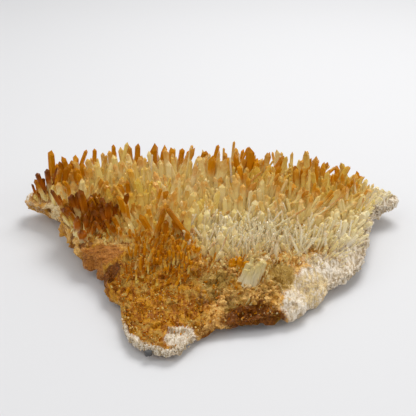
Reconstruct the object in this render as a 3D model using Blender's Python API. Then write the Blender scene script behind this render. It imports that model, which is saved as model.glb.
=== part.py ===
"""Golden healer quartz cluster: a flat, roughly triangular plate of quartz matrix that carries a dense
field of six-sided quartz crystals. Plate and crystals grew together, so they are one solid.

The frame is in metres with +Z up. +X runs along the plate's long side, -Y towards its front tip, and the
origin is the middle of the bounding box, at the height of the flat spot that the plate rests on. The
dimensions below are in millimetres and degrees.
"""

import math
from collections import namedtuple

import bmesh
import bpy
import numpy as np
from mathutils import Quaternion, Vector

MM = 0.001
NODE_NAME = "quartz_cluster"
PARTS_COLLECTION = "quartz_cluster_parts"
CRYSTALS_COLLECTION = "crystals_to_join"

# The plate's edge, anticlockwise from the left tip. Each row is x, y, the height of the lower edge over the
# ground and the height of the broken rim above that edge.
EDGE = (
    (-119.0, 58.0, 8.0, 6.0),
    (-109.0, 49.5, 9.0, 7.5),
    (-99.0, 44.0, 9.0, 9.0),
    (-92.0, 36.0, 9.0, 10.0),
    (-92.5, 24.0, 10.0, 10.0),
    (-85.0, 10.0, 9.0, 10.0),
    (-76.0, -9.0, 7.0, 10.0),
    (-63.0, -18.0, 6.0, 9.0),
    (-59.0, -37.0, 5.5, 7.0),
    (-49.0, -53.0, 4.5, 5.5),
    (-45.0, -70.0, 3.5, 4.5),
    (-39.0, -85.0, 3.0, 4.5),
    (-28.0, -92.5, 3.0, 4.5),
    (-17.0, -94.5, 3.0, 4.5),
    (-4.0, -80.0, 2.5, 4.5),
    (10.0, -73.0, 2.5, 4.5),
    (31.0, -69.0, 2.5, 4.5),
    (44.0, -63.0, 3.0, 4.5),
    (54.0, -51.0, 3.5, 4.5),
    (68.0, -37.0, 4.5, 4.5),
    (79.0, -28.0, 5.0, 4.5),
    (90.0, -14.0, 6.0, 5.0),
    (96.0, 5.0, 7.0, 5.5),
    (103.0, 30.0, 8.0, 6.0),
    (108.0, 45.0, 9.0, 6.0),
    (120.0, 51.0, 10.0, 5.5),
    (124.0, 61.0, 11.0, 5.0),
    (118.0, 71.0, 10.0, 5.5),
    (107.0, 75.0, 9.0, 6.5),
    (97.0, 80.0, 8.0, 7.5),
    (86.0, 82.0, 7.5, 8.0),
    (74.0, 88.5, 7.0, 8.5),
    (58.0, 90.0, 7.0, 9.0),
    (43.0, 86.5, 7.0, 9.0),
    (29.0, 90.5, 7.0, 9.0),
    (9.0, 92.0, 7.0, 9.0),
    (-9.0, 88.5, 7.0, 9.0),
    (-27.0, 91.0, 7.0, 9.0),
    (-50.0, 93.0, 7.0, 9.0),
    (-63.0, 88.0, 7.0, 9.0),
    (-79.0, 89.0, 7.0, 8.5),
    (-92.0, 82.5, 7.5, 8.0),
    (-104.0, 80.0, 8.0, 8.0),
    (-110.0, 72.0, 8.0, 7.5),
    (-118.0, 68.0, 8.0, 6.5),
)
PLATE_CENTRE = (2.0, 14.0)
BOX_MIDDLE = (2.2, -0.7)  # the middle of the bounding box in the coordinates of EDGE
FLAT_SPOT_SHARE = 1.0 / 3.0  # how far out from the centre the underside lies on the ground
UNDERSIDE_RISE_POWER = 1.6
EDGE_SLOPE_SHARE = 0.3  # the share of the way in over which the top climbs from the rim
PLATE_SEGMENTS = 88
PLATE_RINGS = 14
WALL_SHARE = 1.0 / 7.0  # the share of each half of the starting sphere that becomes the rim

# The height of the surface that the crystals grow from: a level, a fall to the front tip, and swells as
# (height, centre x, centre y, spread x, spread y).
ROOT_LEVEL = 17.0
FRONT_FALL_START_Y = -22.0
FRONT_FALL_SLOPE = 0.15
SWELLS = (
    (3.0, -48.0, 0.0, 32.0, 26.0),
    (-4.5, 30.0, 6.0, 30.0, 22.0),
    (2.5, -5.0, 66.0, 70.0, 26.0),
    (4.5, -14.0, -30.0, 52.0, 19.0),
)
# Low lumps over the whole of it, as (height, width across, width along, shift), on crossed sine waves.
LUMPS = (
    (0.9, 15.0, 12.0, 0.6),
    (0.6, 7.5, 8.5, 2.1),
)

# The front limit of the tall crystals, and how softly they stop there.
TALL_LIMIT_X = (-96.0, -64.0, -30.0, -5.0, 18.0, 32.0, 55.0, 85.0, 104.0)
TALL_LIMIT_Y = (8.0, 0.0, -10.0, -26.0, -31.0, -15.0, 3.0, 22.0, 48.0)
TALL_LIMIT_SOFTNESS = 14.0

# The length of the tall crystals, with a factor along x.
CRYSTAL_LENGTH = 26.0
LENGTH_FACTOR_X = (-120.0, -112.0, -100.0, -60.0, 40.0, 75.0, 90.0, 104.0, 118.0, 125.0)
LENGTH_FACTOR = (0.15, 0.6, 0.85, 1.0, 1.0, 0.9, 0.72, 0.42, 0.22, 0.12)

# The seeded field of crystals between the ones that stand out.
FIELD_SEED = 11
FIELD_SPACING = 12.0
FIELD_JITTER = 3.4
FIELD_X_RANGE = (-124.0, 126.0)
FIELD_Y_RANGE = (-44.0, 92.0)
FIELD_REACH = 0.92
FIELD_WIDTH = (4.0, 6.4)
FIELD_LENGTH_SHARE = (0.7, 1.0)
SHORTEST_CRYSTAL = 5.0
SHORT_SHARE_AT_LIMIT = 0.4
LEAN_SPREAD_SIDE = 11.0
LEAN_SPREAD_BACK = 6.6
SIDE_SPLAY = 14.0  # outward lean at the left and right ends
BACK_SPLAY = 14.0  # lean to the back at the back edge
BACK_SPLAY_Y = (40.0, 85.0)
FRONT_SPLAY = 24.0  # lean to the front at the front limit

CRYSTAL_SIDES = 6
SHOULDER_SHARE = 0.88  # the width at the shoulder against the width at the foot
TIP_HEIGHT_SHARE = 1.1  # the height of the pyramid at the tip against the shoulder's radius
FLATTEST_SECTION = 0.78
FOOT_DEPTH = 5.5  # how deep a foot sits under the root surface
FOOT_SEARCH_STEPS = 12

# Crystals that stand out. Each row is the tip's x, y and z and the width, then the lean to the right and the
# lean to the back.
LEFT_LOBE_CRYSTALS = (
    (-104, 74, 44, 5.6, 0, 4),
    (-111, 58, 35, 3.6, -14, 0),
    (-112, 54, 32, 3.4, -20, -6),
    (-105, 60, 37, 4.0, -3, -4),
    (-95, 56, 39, 4.0, 15, -4),
    (-91, 58, 40, 3.8, 12, -6),
    (-97, 76, 39, 4.0, -18, 6),
    (-81, 80, 42, 3.4, 22, 8),
    (-76, 82, 42, 3.2, 3, 8),
    (-71, 82, 39, 3.2, -4, 8),
    (-63, 82, 45, 3.2, 2, 6),
)
BACK_CRYSTALS = (
    (-53, 84, 43, 4.0, -4, 10),
    (-47, 84, 45, 4.6, 3, 10),
    (-45, 66, 43, 4.0, -11, 2),
    (-36, 84, 45, 6.2, 0, 10),
    (-29, 86, 43, 5.4, 8, 12),
    (-24, 72, 47, 4.0, -3, 4),
    (-17, 80, 43, 4.2, 10, 10),
    (-9, 74, 46, 4.4, 27, 8),
    (-1, 80, 41, 4.6, 22, 10),
    (3, 62, 46, 6.4, 3, 4),
    (7, 74, 48, 3.0, 15, 6),
    (11, 56, 46, 6.8, 12, 2),
    (11, 78, 41, 4.2, -6, 10),
    (18, 78, 40, 3.8, -8, 12),
    (28, 76, 46, 7.2, 0, 6),
    (31, 42, 36, 4.4, 38, 0),
    (17, 40, 39, 5.0, -4, 2),
    (41, 76, 42, 4.4, 18, 10),
    (39, 58, 37, 5.0, 0, 4),
    (51, 76, 39, 5.4, 34, 10),
    (64, 72, 45, 4.6, -9, 4),
    (72, 74, 40, 5.0, 12, 8),
    (85, 70, 35, 3.8, -8, 8),
    (88, 72, 36, 4.0, -20, 6),
    (99, 72, 30, 3.8, -12, 10),
    (105, 68, 26, 4.0, 10, 14),
    (112, 62, 23, 3.6, 20, 10),
)
MIDDLE_CRYSTALS = (
    (-56, 38, 37, 4.2, -22, 0),
    (-20, 40, 39, 4.2, 14, 0),
    (-25, 30, 36, 4.2, 28, -4),
    (-8, 14, 37, 4.6, -8, -6),
    (-31, 16, 34, 6.0, 30, -4),
    (-25, -4, 41, 3.6, 16, 6),
    (-24, -4, 41, 3.6, -34, 4),
    (-24, -9, 36, 3.4, 3, -4),
    (-13, -2, 36, 6.8, 0, -4),
    (-40, 0, 35, 3.8, -26, -2),
    (61, 36, 33, 5.0, 2, -2),
    (73, 20, 29, 3.4, 38, -6),
    (53, 14, 24, 3.4, 46, -6),
)
DARK_LEFT_CRYSTALS = (
    (-89, 26, 31, 3.8, -10, -4),
    (-85, 28, 32, 4.0, -14, -2),
    (-80, 22, 32, 4.2, -8, -6),
    (-76, 28, 33, 3.8, 4, -2),
    (-72, 24, 36, 4.0, -22, -2),
    (-67, 25, 36, 4.0, 12, -2),
    (-65, 14, 35, 4.4, 4, -6),
    (-59, 22, 33, 3.8, 14, -2),
    (-55, 12, 36, 3.8, 5, -4),
    (-75, -2, 26, 7.0, -6, -12),
)
STANDOUT_CRYSTALS = LEFT_LOBE_CRYSTALS + BACK_CRYSTALS + MIDDLE_CRYSTALS + DARK_LEFT_CRYSTALS

QUARTZ_COLOUR = (0.62, 0.40, 0.13, 1.0)
QUARTZ_ROUGHNESS = 0.25
QUARTZ_IOR = 1.544
QUARTZ_TRANSMISSION = 0.4

Crystal = namedtuple("Crystal", "foot axis length width")


def smooth_step(t):
    t = np.clip(t, 0.0, 1.0)
    return t * t * (3.0 - 2.0 * t)


def around_edge(turn):
    """The rows of EDGE at a share of a turn, on a closed Catmull-Rom curve through them."""
    rows = np.array(EDGE)
    place = np.mod(np.asarray(turn, float), 1.0) * len(rows)
    index = np.floor(place).astype(int)
    t = (place - index)[..., None]
    before, start, end, after = (rows[(index + k) % len(rows)] for k in (-1, 0, 1, 2))
    return 0.5 * (
        2.0 * start
        + (end - before) * t
        + (2.0 * before - 5.0 * start + 4.0 * end - after) * t**2
        + (3.0 * start - before - 3.0 * end + after) * t**3
    )


def plan_place(turn, reach):
    """x and y at a share of a turn and a share of the way out from the plate's centre."""
    centre = np.array(PLATE_CENTRE)
    edge = around_edge(turn)[..., :2]
    return centre + (edge - centre) * np.asarray(reach, float)[..., None]


def plate_share(x, y):
    """The share of a turn and the share of the way out at a place: plan_place the other way round."""
    centre = np.array(PLATE_CENTRE)
    turns = np.linspace(0.0, 1.0, 40 * len(EDGE) + 1)
    from_centre = around_edge(turns)[:, :2] - centre
    angles = np.unwrap(np.arctan2(from_centre[:, 1], from_centre[:, 0]))
    dx, dy = x - centre[0], y - centre[1]
    angle = angles[0] + np.mod(np.arctan2(dy, dx) - angles[0], math.tau)
    turn = np.interp(angle, angles, turns)
    edge = around_edge(turn)[..., :2] - centre
    return turn, np.hypot(dx, dy) / np.hypot(edge[..., 0], edge[..., 1])


def root_height(x, y):
    """The height of the surface that the crystals grow from, away from the rim."""
    height = ROOT_LEVEL - FRONT_FALL_SLOPE * np.maximum(FRONT_FALL_START_Y - y, 0.0)
    for swell, cx, cy, sx, sy in SWELLS:
        height = height + swell * np.exp(-(((x - cx) / sx) ** 2) - ((y - cy) / sy) ** 2)
    for lump, across, along, shift in LUMPS:
        height = height + lump * np.sin(x / across + shift) * np.cos(y / along - shift)
    return height


def top_height(turn, reach):
    """The plate's top: it climbs from the rim to the root surface."""
    place = plan_place(turn, reach)
    edge = around_edge(turn)
    rim_top = edge[..., 2] + edge[..., 3]
    climb = np.sin(0.5 * math.pi * np.clip((1.0 - reach) / EDGE_SLOPE_SHARE, 0.0, 1.0))
    return rim_top + (root_height(place[..., 0], place[..., 1]) - rim_top) * climb


def under_height(turn, reach):
    """The plate's underside: on the ground in the middle and raised towards the edge."""
    out = np.clip((reach - FLAT_SPOT_SHARE) / (1.0 - FLAT_SPOT_SHARE), 0.0, 1.0)
    return around_edge(turn)[..., 2] * out**UNDERSIDE_RISE_POWER


def surface_height(x, y):
    turn, reach = plate_share(x, y)
    return top_height(turn, np.minimum(reach, 1.0))


def tall_share(x, y):
    """1 where the tall crystals stand and 0 in front of their limit."""
    return smooth_step((y - np.interp(x, TALL_LIMIT_X, TALL_LIMIT_Y)) / TALL_LIMIT_SOFTNESS)


def lean_axis(right, back):
    """A unit vector that leans from upright by these two angles."""
    return Vector((math.tan(math.radians(right)), math.tan(math.radians(back)), 1.0)).normalized()


def standout_crystals():
    """The listed crystals. Each foot is found by following the axis down from the tip to the surface."""
    crystals = []
    for x, y, z, width, right, back in STANDOUT_CRYSTALS:
        axis = lean_axis(right, back)
        tip = Vector((x, y, z))
        length = 0.0
        for _ in range(FOOT_SEARCH_STEPS):
            place = tip - axis * length
            length += (place.z - float(surface_height(place.x, place.y))) * axis.z
        length += FOOT_DEPTH
        crystals.append(Crystal(tip - axis * length, axis, length, width))
    return crystals


def field_crystals():
    """Seeded crystals on a shaken triangular lattice, shorter at the plate's ends and at the front limit."""
    rng = np.random.default_rng(FIELD_SEED)
    columns = np.arange(*FIELD_X_RANGE, FIELD_SPACING)
    rows = np.arange(*FIELD_Y_RANGE, FIELD_SPACING * math.cos(math.pi / 6.0))
    x, y = np.meshgrid(columns, rows)
    x[1::2] += 0.5 * FIELD_SPACING
    x = (x + rng.uniform(-FIELD_JITTER, FIELD_JITTER, x.shape)).ravel()
    y = (y + rng.uniform(-FIELD_JITTER, FIELD_JITTER, y.shape)).ravel()
    width = rng.uniform(*FIELD_WIDTH, x.size)
    tall = tall_share(x, y)
    length = CRYSTAL_LENGTH * rng.uniform(*FIELD_LENGTH_SHARE, x.size)
    length *= np.interp(x, LENGTH_FACTOR_X, LENGTH_FACTOR)
    length *= SHORT_SHARE_AT_LIMIT + (1.0 - SHORT_SHARE_AT_LIMIT) * tall
    right = SIDE_SPLAY * x / FIELD_X_RANGE[1] + rng.normal(0.0, LEAN_SPREAD_SIDE, x.size)
    near_back = smooth_step((y - BACK_SPLAY_Y[0]) / (BACK_SPLAY_Y[1] - BACK_SPLAY_Y[0]))
    back = BACK_SPLAY * near_back - FRONT_SPLAY * (1.0 - tall) + rng.normal(0.0, LEAN_SPREAD_BACK, x.size)
    turn, reach = plate_share(x, y)
    height = top_height(turn, np.minimum(reach, 1.0))
    kept = np.flatnonzero((reach < FIELD_REACH) & (tall > 0.0) & (length > SHORTEST_CRYSTAL))
    crystals = []
    for k in kept:
        axis = lean_axis(right[k], back[k])
        foot = Vector((x[k], y[k], height[k])) - axis * FOOT_DEPTH
        crystals.append(Crystal(foot, axis, length[k] + FOOT_DEPTH, width[k]))
    return crystals


def in_frame(x, y, z):
    """A place in EDGE's millimetres as metres from the origin."""
    return Vector((x - BOX_MIDDLE[0], y - BOX_MIDDLE[1], z)) * MM


def quartz_material():
    material = bpy.data.materials.new("stained_quartz")
    material.use_nodes = True
    shader = material.node_tree.nodes["Principled BSDF"]
    shader.inputs["Base Color"].default_value = QUARTZ_COLOUR
    shader.inputs["Roughness"].default_value = QUARTZ_ROUGHNESS
    shader.inputs["Metallic"].default_value = 0.0
    shader.inputs["IOR"].default_value = QUARTZ_IOR
    shader.inputs["Transmission Weight"].default_value = QUARTZ_TRANSMISSION
    return material


def new_object(name, bm, collection):
    mesh = bpy.data.meshes.new(name)
    bm.to_mesh(mesh)
    bm.free()
    obj = bpy.data.objects.new(name, mesh)
    collection.objects.link(obj)
    return obj


def make_plate(collection):
    """A sphere whose turns follow the plate's edge and whose rings run from the underside to the top."""
    bm = bmesh.new()
    bmesh.ops.create_uvsphere(bm, u_segments=PLATE_SEGMENTS, v_segments=PLATE_RINGS, radius=1.0)
    for vert in bm.verts:
        turn = math.atan2(vert.co.y, vert.co.x) / math.tau
        share = math.asin(max(-1.0, min(1.0, vert.co.z))) / (0.5 * math.pi)
        reach = min(1.0, (1.0 - abs(share)) / (1.0 - WALL_SHARE))
        x, y = plan_place(turn, reach)
        under = float(under_height(turn, reach))
        top = float(top_height(turn, reach))
        up_the_wall = 0.5 + 0.5 * max(-1.0, min(1.0, share / WALL_SHARE))
        vert.co = in_frame(x, y, under + (top - under) * up_the_wall)
    plate = new_object(NODE_NAME, bm, collection)
    plate.data.materials.append(quartz_material())
    return plate


def make_crystal(name, crystal, spin, flatness, collection):
    """A six-sided prism whose top face is drawn up into a pyramid. Its foot is the object's origin."""
    radius = 0.5 * crystal.width * MM
    tip_height = TIP_HEIGHT_SHARE * SHOULDER_SHARE * radius
    shaft = crystal.length * MM - tip_height
    bm = bmesh.new()
    bmesh.ops.create_cone(
        bm,
        cap_ends=True,
        segments=CRYSTAL_SIDES,
        radius1=radius,
        radius2=SHOULDER_SHARE * radius,
        depth=shaft,
    )
    bmesh.ops.scale(bm, verts=bm.verts, vec=(1.0, flatness, 1.0))
    bmesh.ops.translate(bm, verts=bm.verts, vec=(0.0, 0.0, 0.5 * shaft))
    shoulder_face = max(bm.faces, key=lambda face: face.calc_center_median().z)
    bmesh.ops.poke(bm, faces=[shoulder_face], offset=tip_height)
    prism = new_object(name, bm, collection)
    prism.location = in_frame(*crystal.foot)
    prism.rotation_mode = "QUATERNION"
    prism.rotation_quaternion = crystal.axis.to_track_quat("Z", "Y") @ Quaternion((0.0, 0.0, 1.0), spin)
    prism.hide_render = True
    prism.display_type = "WIRE"


def make_crystals(collection):
    rng = np.random.default_rng(FIELD_SEED + 1)
    for number, crystal in enumerate(standout_crystals() + field_crystals()):
        spin = rng.uniform(0.0, math.tau / CRYSTAL_SIDES)
        flatness = rng.uniform(FLATTEST_SECTION, 1.0)
        make_crystal(f"crystal_{number:03d}", crystal, spin, flatness, collection)


def join_crystals(plate, crystals):
    """One solid from the plate and every crystal, also where crystals cross each other."""
    grown = plate.modifiers.new("crystals_grown_on", "BOOLEAN")
    grown.operation = "UNION"
    grown.solver = "EXACT"
    grown.operand_type = "COLLECTION"
    grown.collection = crystals


def new_collection(name):
    collection = bpy.data.collections.new(name)
    bpy.context.scene.collection.children.link(collection)
    return collection


def main():
    for obj in list(bpy.data.objects):
        bpy.data.objects.remove(obj, do_unlink=True)
    crystals = new_collection(CRYSTALS_COLLECTION)
    make_crystals(crystals)
    plate = make_plate(new_collection(PARTS_COLLECTION))
    join_crystals(plate, crystals)


main()
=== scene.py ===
import math
import bpy
import numpy as np
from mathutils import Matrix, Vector


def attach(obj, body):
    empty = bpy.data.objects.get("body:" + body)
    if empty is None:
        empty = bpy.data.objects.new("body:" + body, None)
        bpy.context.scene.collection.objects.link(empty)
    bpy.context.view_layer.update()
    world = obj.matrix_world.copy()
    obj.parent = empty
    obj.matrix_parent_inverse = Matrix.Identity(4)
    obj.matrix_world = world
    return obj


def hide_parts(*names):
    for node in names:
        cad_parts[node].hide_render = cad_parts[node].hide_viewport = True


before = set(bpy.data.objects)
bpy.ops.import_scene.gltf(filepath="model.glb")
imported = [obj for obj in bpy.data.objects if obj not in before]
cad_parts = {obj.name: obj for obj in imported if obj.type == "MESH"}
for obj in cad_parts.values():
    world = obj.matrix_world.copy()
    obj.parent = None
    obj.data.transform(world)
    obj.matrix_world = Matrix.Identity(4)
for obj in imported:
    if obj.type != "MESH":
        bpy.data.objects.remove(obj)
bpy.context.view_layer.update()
print("packed solid loaded")

# Lengths are in millimetres, until newMesh turns them into metres, and leans in degrees. Only depths inside a
# material, the stage and the camera are given in metres.
metresPerMm = 0.001

# The plate's edge, anticlockwise from the left tip: x, y, lower edge over the ground, rim above that edge.
edgeRows = np.array([
    (-119, 58, 8, 6), (-109, 49.5, 9, 7.5), (-99, 44, 9, 9), (-92, 36, 9, 10),
    (-92.5, 24, 10, 10), (-85, 10, 9, 10), (-76, -9, 7, 10), (-63, -18, 6, 9),
    (-59, -37, 5.5, 7), (-49, -53, 4.5, 5.5), (-45, -70, 3.5, 4.5), (-39, -85, 3, 4.5),
    (-28, -92.5, 3, 4.5), (-17, -94.5, 3, 4.5), (-4, -80, 2.5, 4.5), (10, -73, 4.5, 2.5),
    (31, -69, 5.5, 2.5), (44, -63, 5, 3), (54, -51, 4, 4), (68, -37, 4.5, 4.5),
    (79, -28, 5, 4.5), (90, -14, 6, 5), (96, 5, 7, 5.5), (103, 30, 8, 6),
    (108, 45, 9, 6), (120, 51, 10, 5.5), (124, 61, 11, 5), (118, 71, 10, 5.5),
    (107, 75, 9, 6.5), (97, 80, 8, 7.5), (86, 82, 7.5, 8), (74, 88.5, 7, 8.5),
    (58, 90, 7, 9), (43, 86.5, 7, 9), (29, 90.5, 7, 9), (9, 92, 7, 9),
    (-9, 88.5, 7, 9), (-27, 91, 7, 9), (-50, 93, 7, 9), (-63, 88, 7, 9),
    (-79, 89, 7, 8.5), (-92, 82.5, 7.5, 8), (-104, 80, 8, 8), (-110, 72, 8, 7.5),
    (-118, 68, 8, 6.5),
])
plateShape = {
    "centre": np.array([2.0, 14.0]),
    "boxMiddle": np.array([2.2, -0.7, 0.0]),
    "flatSpotShare": 1.0 / 3.0,
    "undersideRisePower": 1.6,
    "edgeSlopeShare": 0.3,
    "rootLevel": 17.0,
    "frontFallStartY": -22.0,
    "frontFallSlope": 0.15,
    # height, centre x, centre y, spread x, spread y
    "swells": ((3.0, -48.0, 0.0, 32.0, 26.0), (-4.5, 30.0, 6.0, 30.0, 22.0),
               (2.5, -5.0, 66.0, 70.0, 26.0), (4.5, -14.0, -30.0, 52.0, 19.0)),
    # height, width across, width along, shift
    "lumps": ((0.9, 15.0, 12.0, 0.6), (0.6, 7.5, 8.5, 2.1)),
}
tallLimit = {
    "x": (-96, -64, -30, -5, 18, 32, 55, 85, 104),
    "y": (8, 0, -10, -26, -31, -15, 3, 22, 48),
    "softness": 14,
}


def smoothStep(t):
    t = np.clip(t, 0.0, 1.0)
    return t * t * (3.0 - 2.0 * t)


def ramp(value, start, full):
    # 0 at start and 1 at full, smooth between
    return smoothStep((value - start) / (full - start))


def aroundEdge(turn):
    # closed Catmull-Rom curve through edgeRows, at a share of a turn
    place = np.mod(np.asarray(turn, float), 1.0) * len(edgeRows)
    index = np.floor(place).astype(int)
    t = (place - index)[..., None]
    before, start, end, after = (edgeRows[(index + k) % len(edgeRows)] for k in (-1, 0, 1, 2))
    return 0.5 * (2.0 * start + (end - before) * t + (2.0 * before - 5.0 * start + 4.0 * end - after) * t**2
                  + (3.0 * start - before - 3.0 * end + after) * t**3)


def planPlace(turn, reach):
    # x and y at a share of a turn and a share of the way out from the plate's centre
    centre = plateShape["centre"]
    return centre + (aroundEdge(turn)[..., :2] - centre) * np.asarray(reach, float)[..., None]


edgeTurns = np.linspace(0.0, 1.0, 40 * len(edgeRows) + 1)
edgeFromCentre = aroundEdge(edgeTurns)[:, :2] - plateShape["centre"]
edgeAngles = np.unwrap(np.arctan2(edgeFromCentre[:, 1], edgeFromCentre[:, 0]))


def plateShare(x, y):
    # planPlace the other way round: turn from the place's angle, reach from its distance over the edge's
    centre = plateShape["centre"]
    dx, dy = x - centre[0], y - centre[1]
    angle = edgeAngles[0] + np.mod(np.arctan2(dy, dx) - edgeAngles[0], math.tau)
    turn = np.interp(angle, edgeAngles, edgeTurns)
    edge = aroundEdge(turn)[..., :2] - centre
    return turn, np.hypot(dx, dy) / np.hypot(edge[..., 0], edge[..., 1])


def rootHeight(x, y):
    # level less the fall to the front tip, plus Gaussian swells and crossed sine lumps
    fall = plateShape["frontFallSlope"] * np.maximum(plateShape["frontFallStartY"] - y, 0)
    height = plateShape["rootLevel"] - fall
    for swell, cx, cy, sx, sy in plateShape["swells"]:
        height = height + swell * np.exp(-(((x - cx) / sx) ** 2) - ((y - cy) / sy) ** 2)
    for lump, across, along, shift in plateShape["lumps"]:
        height = height + lump * np.sin(x / across + shift) * np.cos(y / along - shift)
    return height


def topHeight(turn, reach):
    # from the rim's top up to the root height on a quarter sine
    place = planPlace(turn, reach)
    edge = aroundEdge(turn)
    rimTop = edge[..., 2] + edge[..., 3]
    climb = np.sin(0.5 * math.pi * np.clip((1.0 - reach) / plateShape["edgeSlopeShare"], 0.0, 1.0))
    return rimTop + (rootHeight(place[..., 0], place[..., 1]) - rimTop) * climb


def underHeight(turn, reach):
    # zero on the flat spot, then a power of the way out times the lower edge's height
    spot = plateShape["flatSpotShare"]
    out = np.clip((reach - spot) / (1.0 - spot), 0.0, 1.0)
    return aroundEdge(turn)[..., 2] * out ** plateShape["undersideRisePower"]


def surfaceHeight(x, y):
    # the top's height over a place, and the rim's top outside the edge
    turn, reach = plateShare(x, y)
    return topHeight(turn, np.minimum(reach, 1.0))


def tallShare(x, y):
    # 0 in front of the tall field's limit and 1 from its softness behind it
    return smoothStep((y - np.interp(x, tallLimit["x"], tallLimit["y"])) / tallLimit["softness"])


def softNoise(places, size, seed):
    # values from -1 to 1 on a repeating cubic lattice, eased between its corners
    lattice = np.random.default_rng(seed).uniform(-1.0, 1.0, (32, 32, 32))
    q = places / size
    corner = np.floor(q).astype(int)
    f = smoothStep(q - corner)
    total = np.zeros(len(places))
    for step in np.ndindex(2, 2, 2):
        weight = np.prod(np.where(step, f, 1.0 - f), axis=1)
        at = (corner + step) % 32
        total += weight * lattice[at[:, 0], at[:, 1], at[:, 2]]
    return total


def fractalNoise(places, size, seed, octaves):
    # each octave has half the size and half the height of the one before
    return sum(softNoise(places, size / 2**k, seed + k) / 2**k for k in range(octaves))


def facets(places, size, seed):
    # each cell of a shaken lattice is a flat facet with its own height and tilt
    rng = np.random.default_rng(seed)
    shake, tilt = rng.random((16, 16, 16, 3)), rng.normal(0.0, 0.7, (16, 16, 16, 3))
    level = rng.uniform(-0.5, 0.5, (16, 16, 16))
    q = places / size
    corner = np.floor(q).astype(int)
    nearest, height = np.full(len(places), 9.0), np.zeros(len(places))
    for step in np.ndindex(3, 3, 3):
        cell = corner + np.array(step) - 1
        at = tuple((cell % 16).T)
        offset = cell + shake[at] - q
        gap = np.linalg.norm(offset, axis=1)
        height = np.where(gap < nearest, level[at] + np.sum(offset * tilt[at], axis=1), height)
        nearest = np.minimum(nearest, gap)
    return height


# Parts of the plate with a look of their own, and in the iron zone one patch of painted shade: centre x,
# centre y, spread x, spread y, strength.
zones = {
    "clear": ((22, 2, 34, 22, 1), (52, 0, 24, 17, 0.75), (8, -13, 13, 12, 0.7)),
    "gold": ((-52, 34, 28, 30, 0.9), (-100, 66, 18, 24, 0.7), (-22, -4, 24, 18, 1),
             (72, 58, 36, 26, 0.75), (26, 66, 24, 24, 0.75), (-4, 24, 22, 16, 0.55),
             (-62, 78, 26, 20, 0.5), (-14, 74, 26, 20, 0.4), (-28, -50, 34, 34, 1)),
    "darkIron": ((-66, 8, 18, 14, 0.9), (-78, 22, 9, 8, 0.9), (-108, 58, 5, 6, 0.8),
                 (-20, -6, 12, 8, 0.15)),
    "amber": ((-100, 66, 24, 24, 1), (-62, 18, 32, 28, 0.55), (74, 60, 42, 26, 0.55),
              (30, 74, 24, 20, 0.7), (-26, -6, 22, 17, 0.5), (0, 91, 112, 13, 0.8)),
    "rust": ((-28, -8, 17, 17, 0.4), (-50, -14, 16, 12, 0.6), (-109, 60, 9, 9, 0.9),
             (-91, 27, 9, 13, 0.8)),
    "ochre": ((-28, -56, 30, 34, 1), (-46, -34, 20, 18, 0.9), (0, -46, 20, 16, 0.5)),
    "iron": ((25, -68, 18, 11, 1), (-55, -31, 6.5, 5.5, 1), (-72, -6, 6, 4, 0.6),
             (-82, 6, 5, 4, 0.5), (-66, -30, 5, 3, 0.5),
             # This last iron patch is painted shade: dark brown along the lower front edge, where shadow
             # falls under the plate.
             (6, -78, 12, 5, 0.7)),
    "pink": ((-65, -18, 16, 9, 1),),
    "facePeak": ((57, -38, 9, 10, 1), (48, -54, 8, 9, 0.7)),
    "face": ((54, -48, 13, 16, 1), (72, -30, 12, 8, 0.9), (88, -12, 9, 9, 0.8)),
    "bare": ((-108, 49, 10, 6, 1), (-62, -20, 20, 13, 1), (-54, -32, 9, 8, 1)),
    "glass": ((3, -47, 8, 9, 1), (17, -62, 8, 6, 1), (41, -38, 7, 9, 1)),
    "open": ((-26, -8, 22, 13, 1), (-78, -4, 8, 7, 0.8)),
    "olive": ((3, -46, 8, 10, 1), (17, -62, 9, 7, 0.9), (41, -38, 8, 11, 0.9),
              (20, -50, 26, 15, 0.4), (57, -46, 15, 15, 0.42)),
    "frost": ((-13, -84, 9, 9, 1), (51, -50, 13, 18, 0.65), (70, -26, 17, 14, 0.7),
              (57, -37, 6, 6, 1), (46, -61, 9, 8, 0.7),
              (86, -8, 16, 17, 0.9), (97, 14, 14, 22, 0.8), (105, 38, 10, 16, 0.8),
              (118, 58, 16, 16, 1), (-108, 50, 12, 9, 0.3)),
    "cream": ((27, -25, 7, 8, 1), (22, -42, 6, 5, 1), (-100, 44, 14, 7, 0.7),
              (16, -72, 6, 4, 0.5), (66, -38, 9, 7, 0.5),
              (53, -46, 13, 15, 0.34)),
    "orange": ((18, -31, 6, 5, 1), (4, -66, 9, 6, 0.35), (-3, -30, 7, 6, 0.6),
               (8, -54, 5, 4, 0.5), (28, -54, 5, 5, 0.5),
               (31, -61, 3, 2, 0.3)),
}
# The zones that colour the rock, from the lowest layer to the top one.
rockZones = ("ochre", "frost", "orange", "olive", "cream", "pink", "iron")


def zoneShare(name, x, y):
    # the strongest of the zone's patches, each falling off with the fourth power of the distance
    share = np.zeros(np.shape(x))
    for cx, cy, sx, sy, strength in zones[name]:
        share = np.maximum(share, strength * np.exp(-((((x - cx) / sx) ** 2 + ((y - cy) / sy) ** 2) ** 2)))
    return share


def newMesh(name, places, faceSets, uvSets, attributes, material):
    # places in millimetres as in edgeRows; each face set is an array of corner indices
    mesh = bpy.data.meshes.new(name)
    inFrame = (places - plateShape["boxMiddle"]) * metresPerMm
    faces = [face for faceSet in faceSets for face in faceSet.tolist()]
    mesh.from_pydata(inFrame.tolist(), [], faces)
    uvLayer = mesh.uv_layers.new(name="OFBake")
    uvLayer.uv.foreach_set("vector", np.concatenate([uv.ravel() for uv in uvSets]).astype(np.float32))
    for key, values in attributes.items():
        mesh.attributes.new(key, "FLOAT", "POINT").data.foreach_set("value", values.astype(np.float32))
    mesh.materials.append(material)
    piece = bpy.data.objects.new(name, mesh)
    bpy.context.scene.collection.objects.link(piece)
    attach(piece, "root")
    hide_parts("quartz_cluster")
    print(name, len(mesh.vertices), "vertices", len(mesh.polygons), "faces")
    return mesh


# The corners of a quad, as steps along the columns and along the rows.
quadCorners = ((0, 0), (1, 0), (1, 1), (0, 1))


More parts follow.
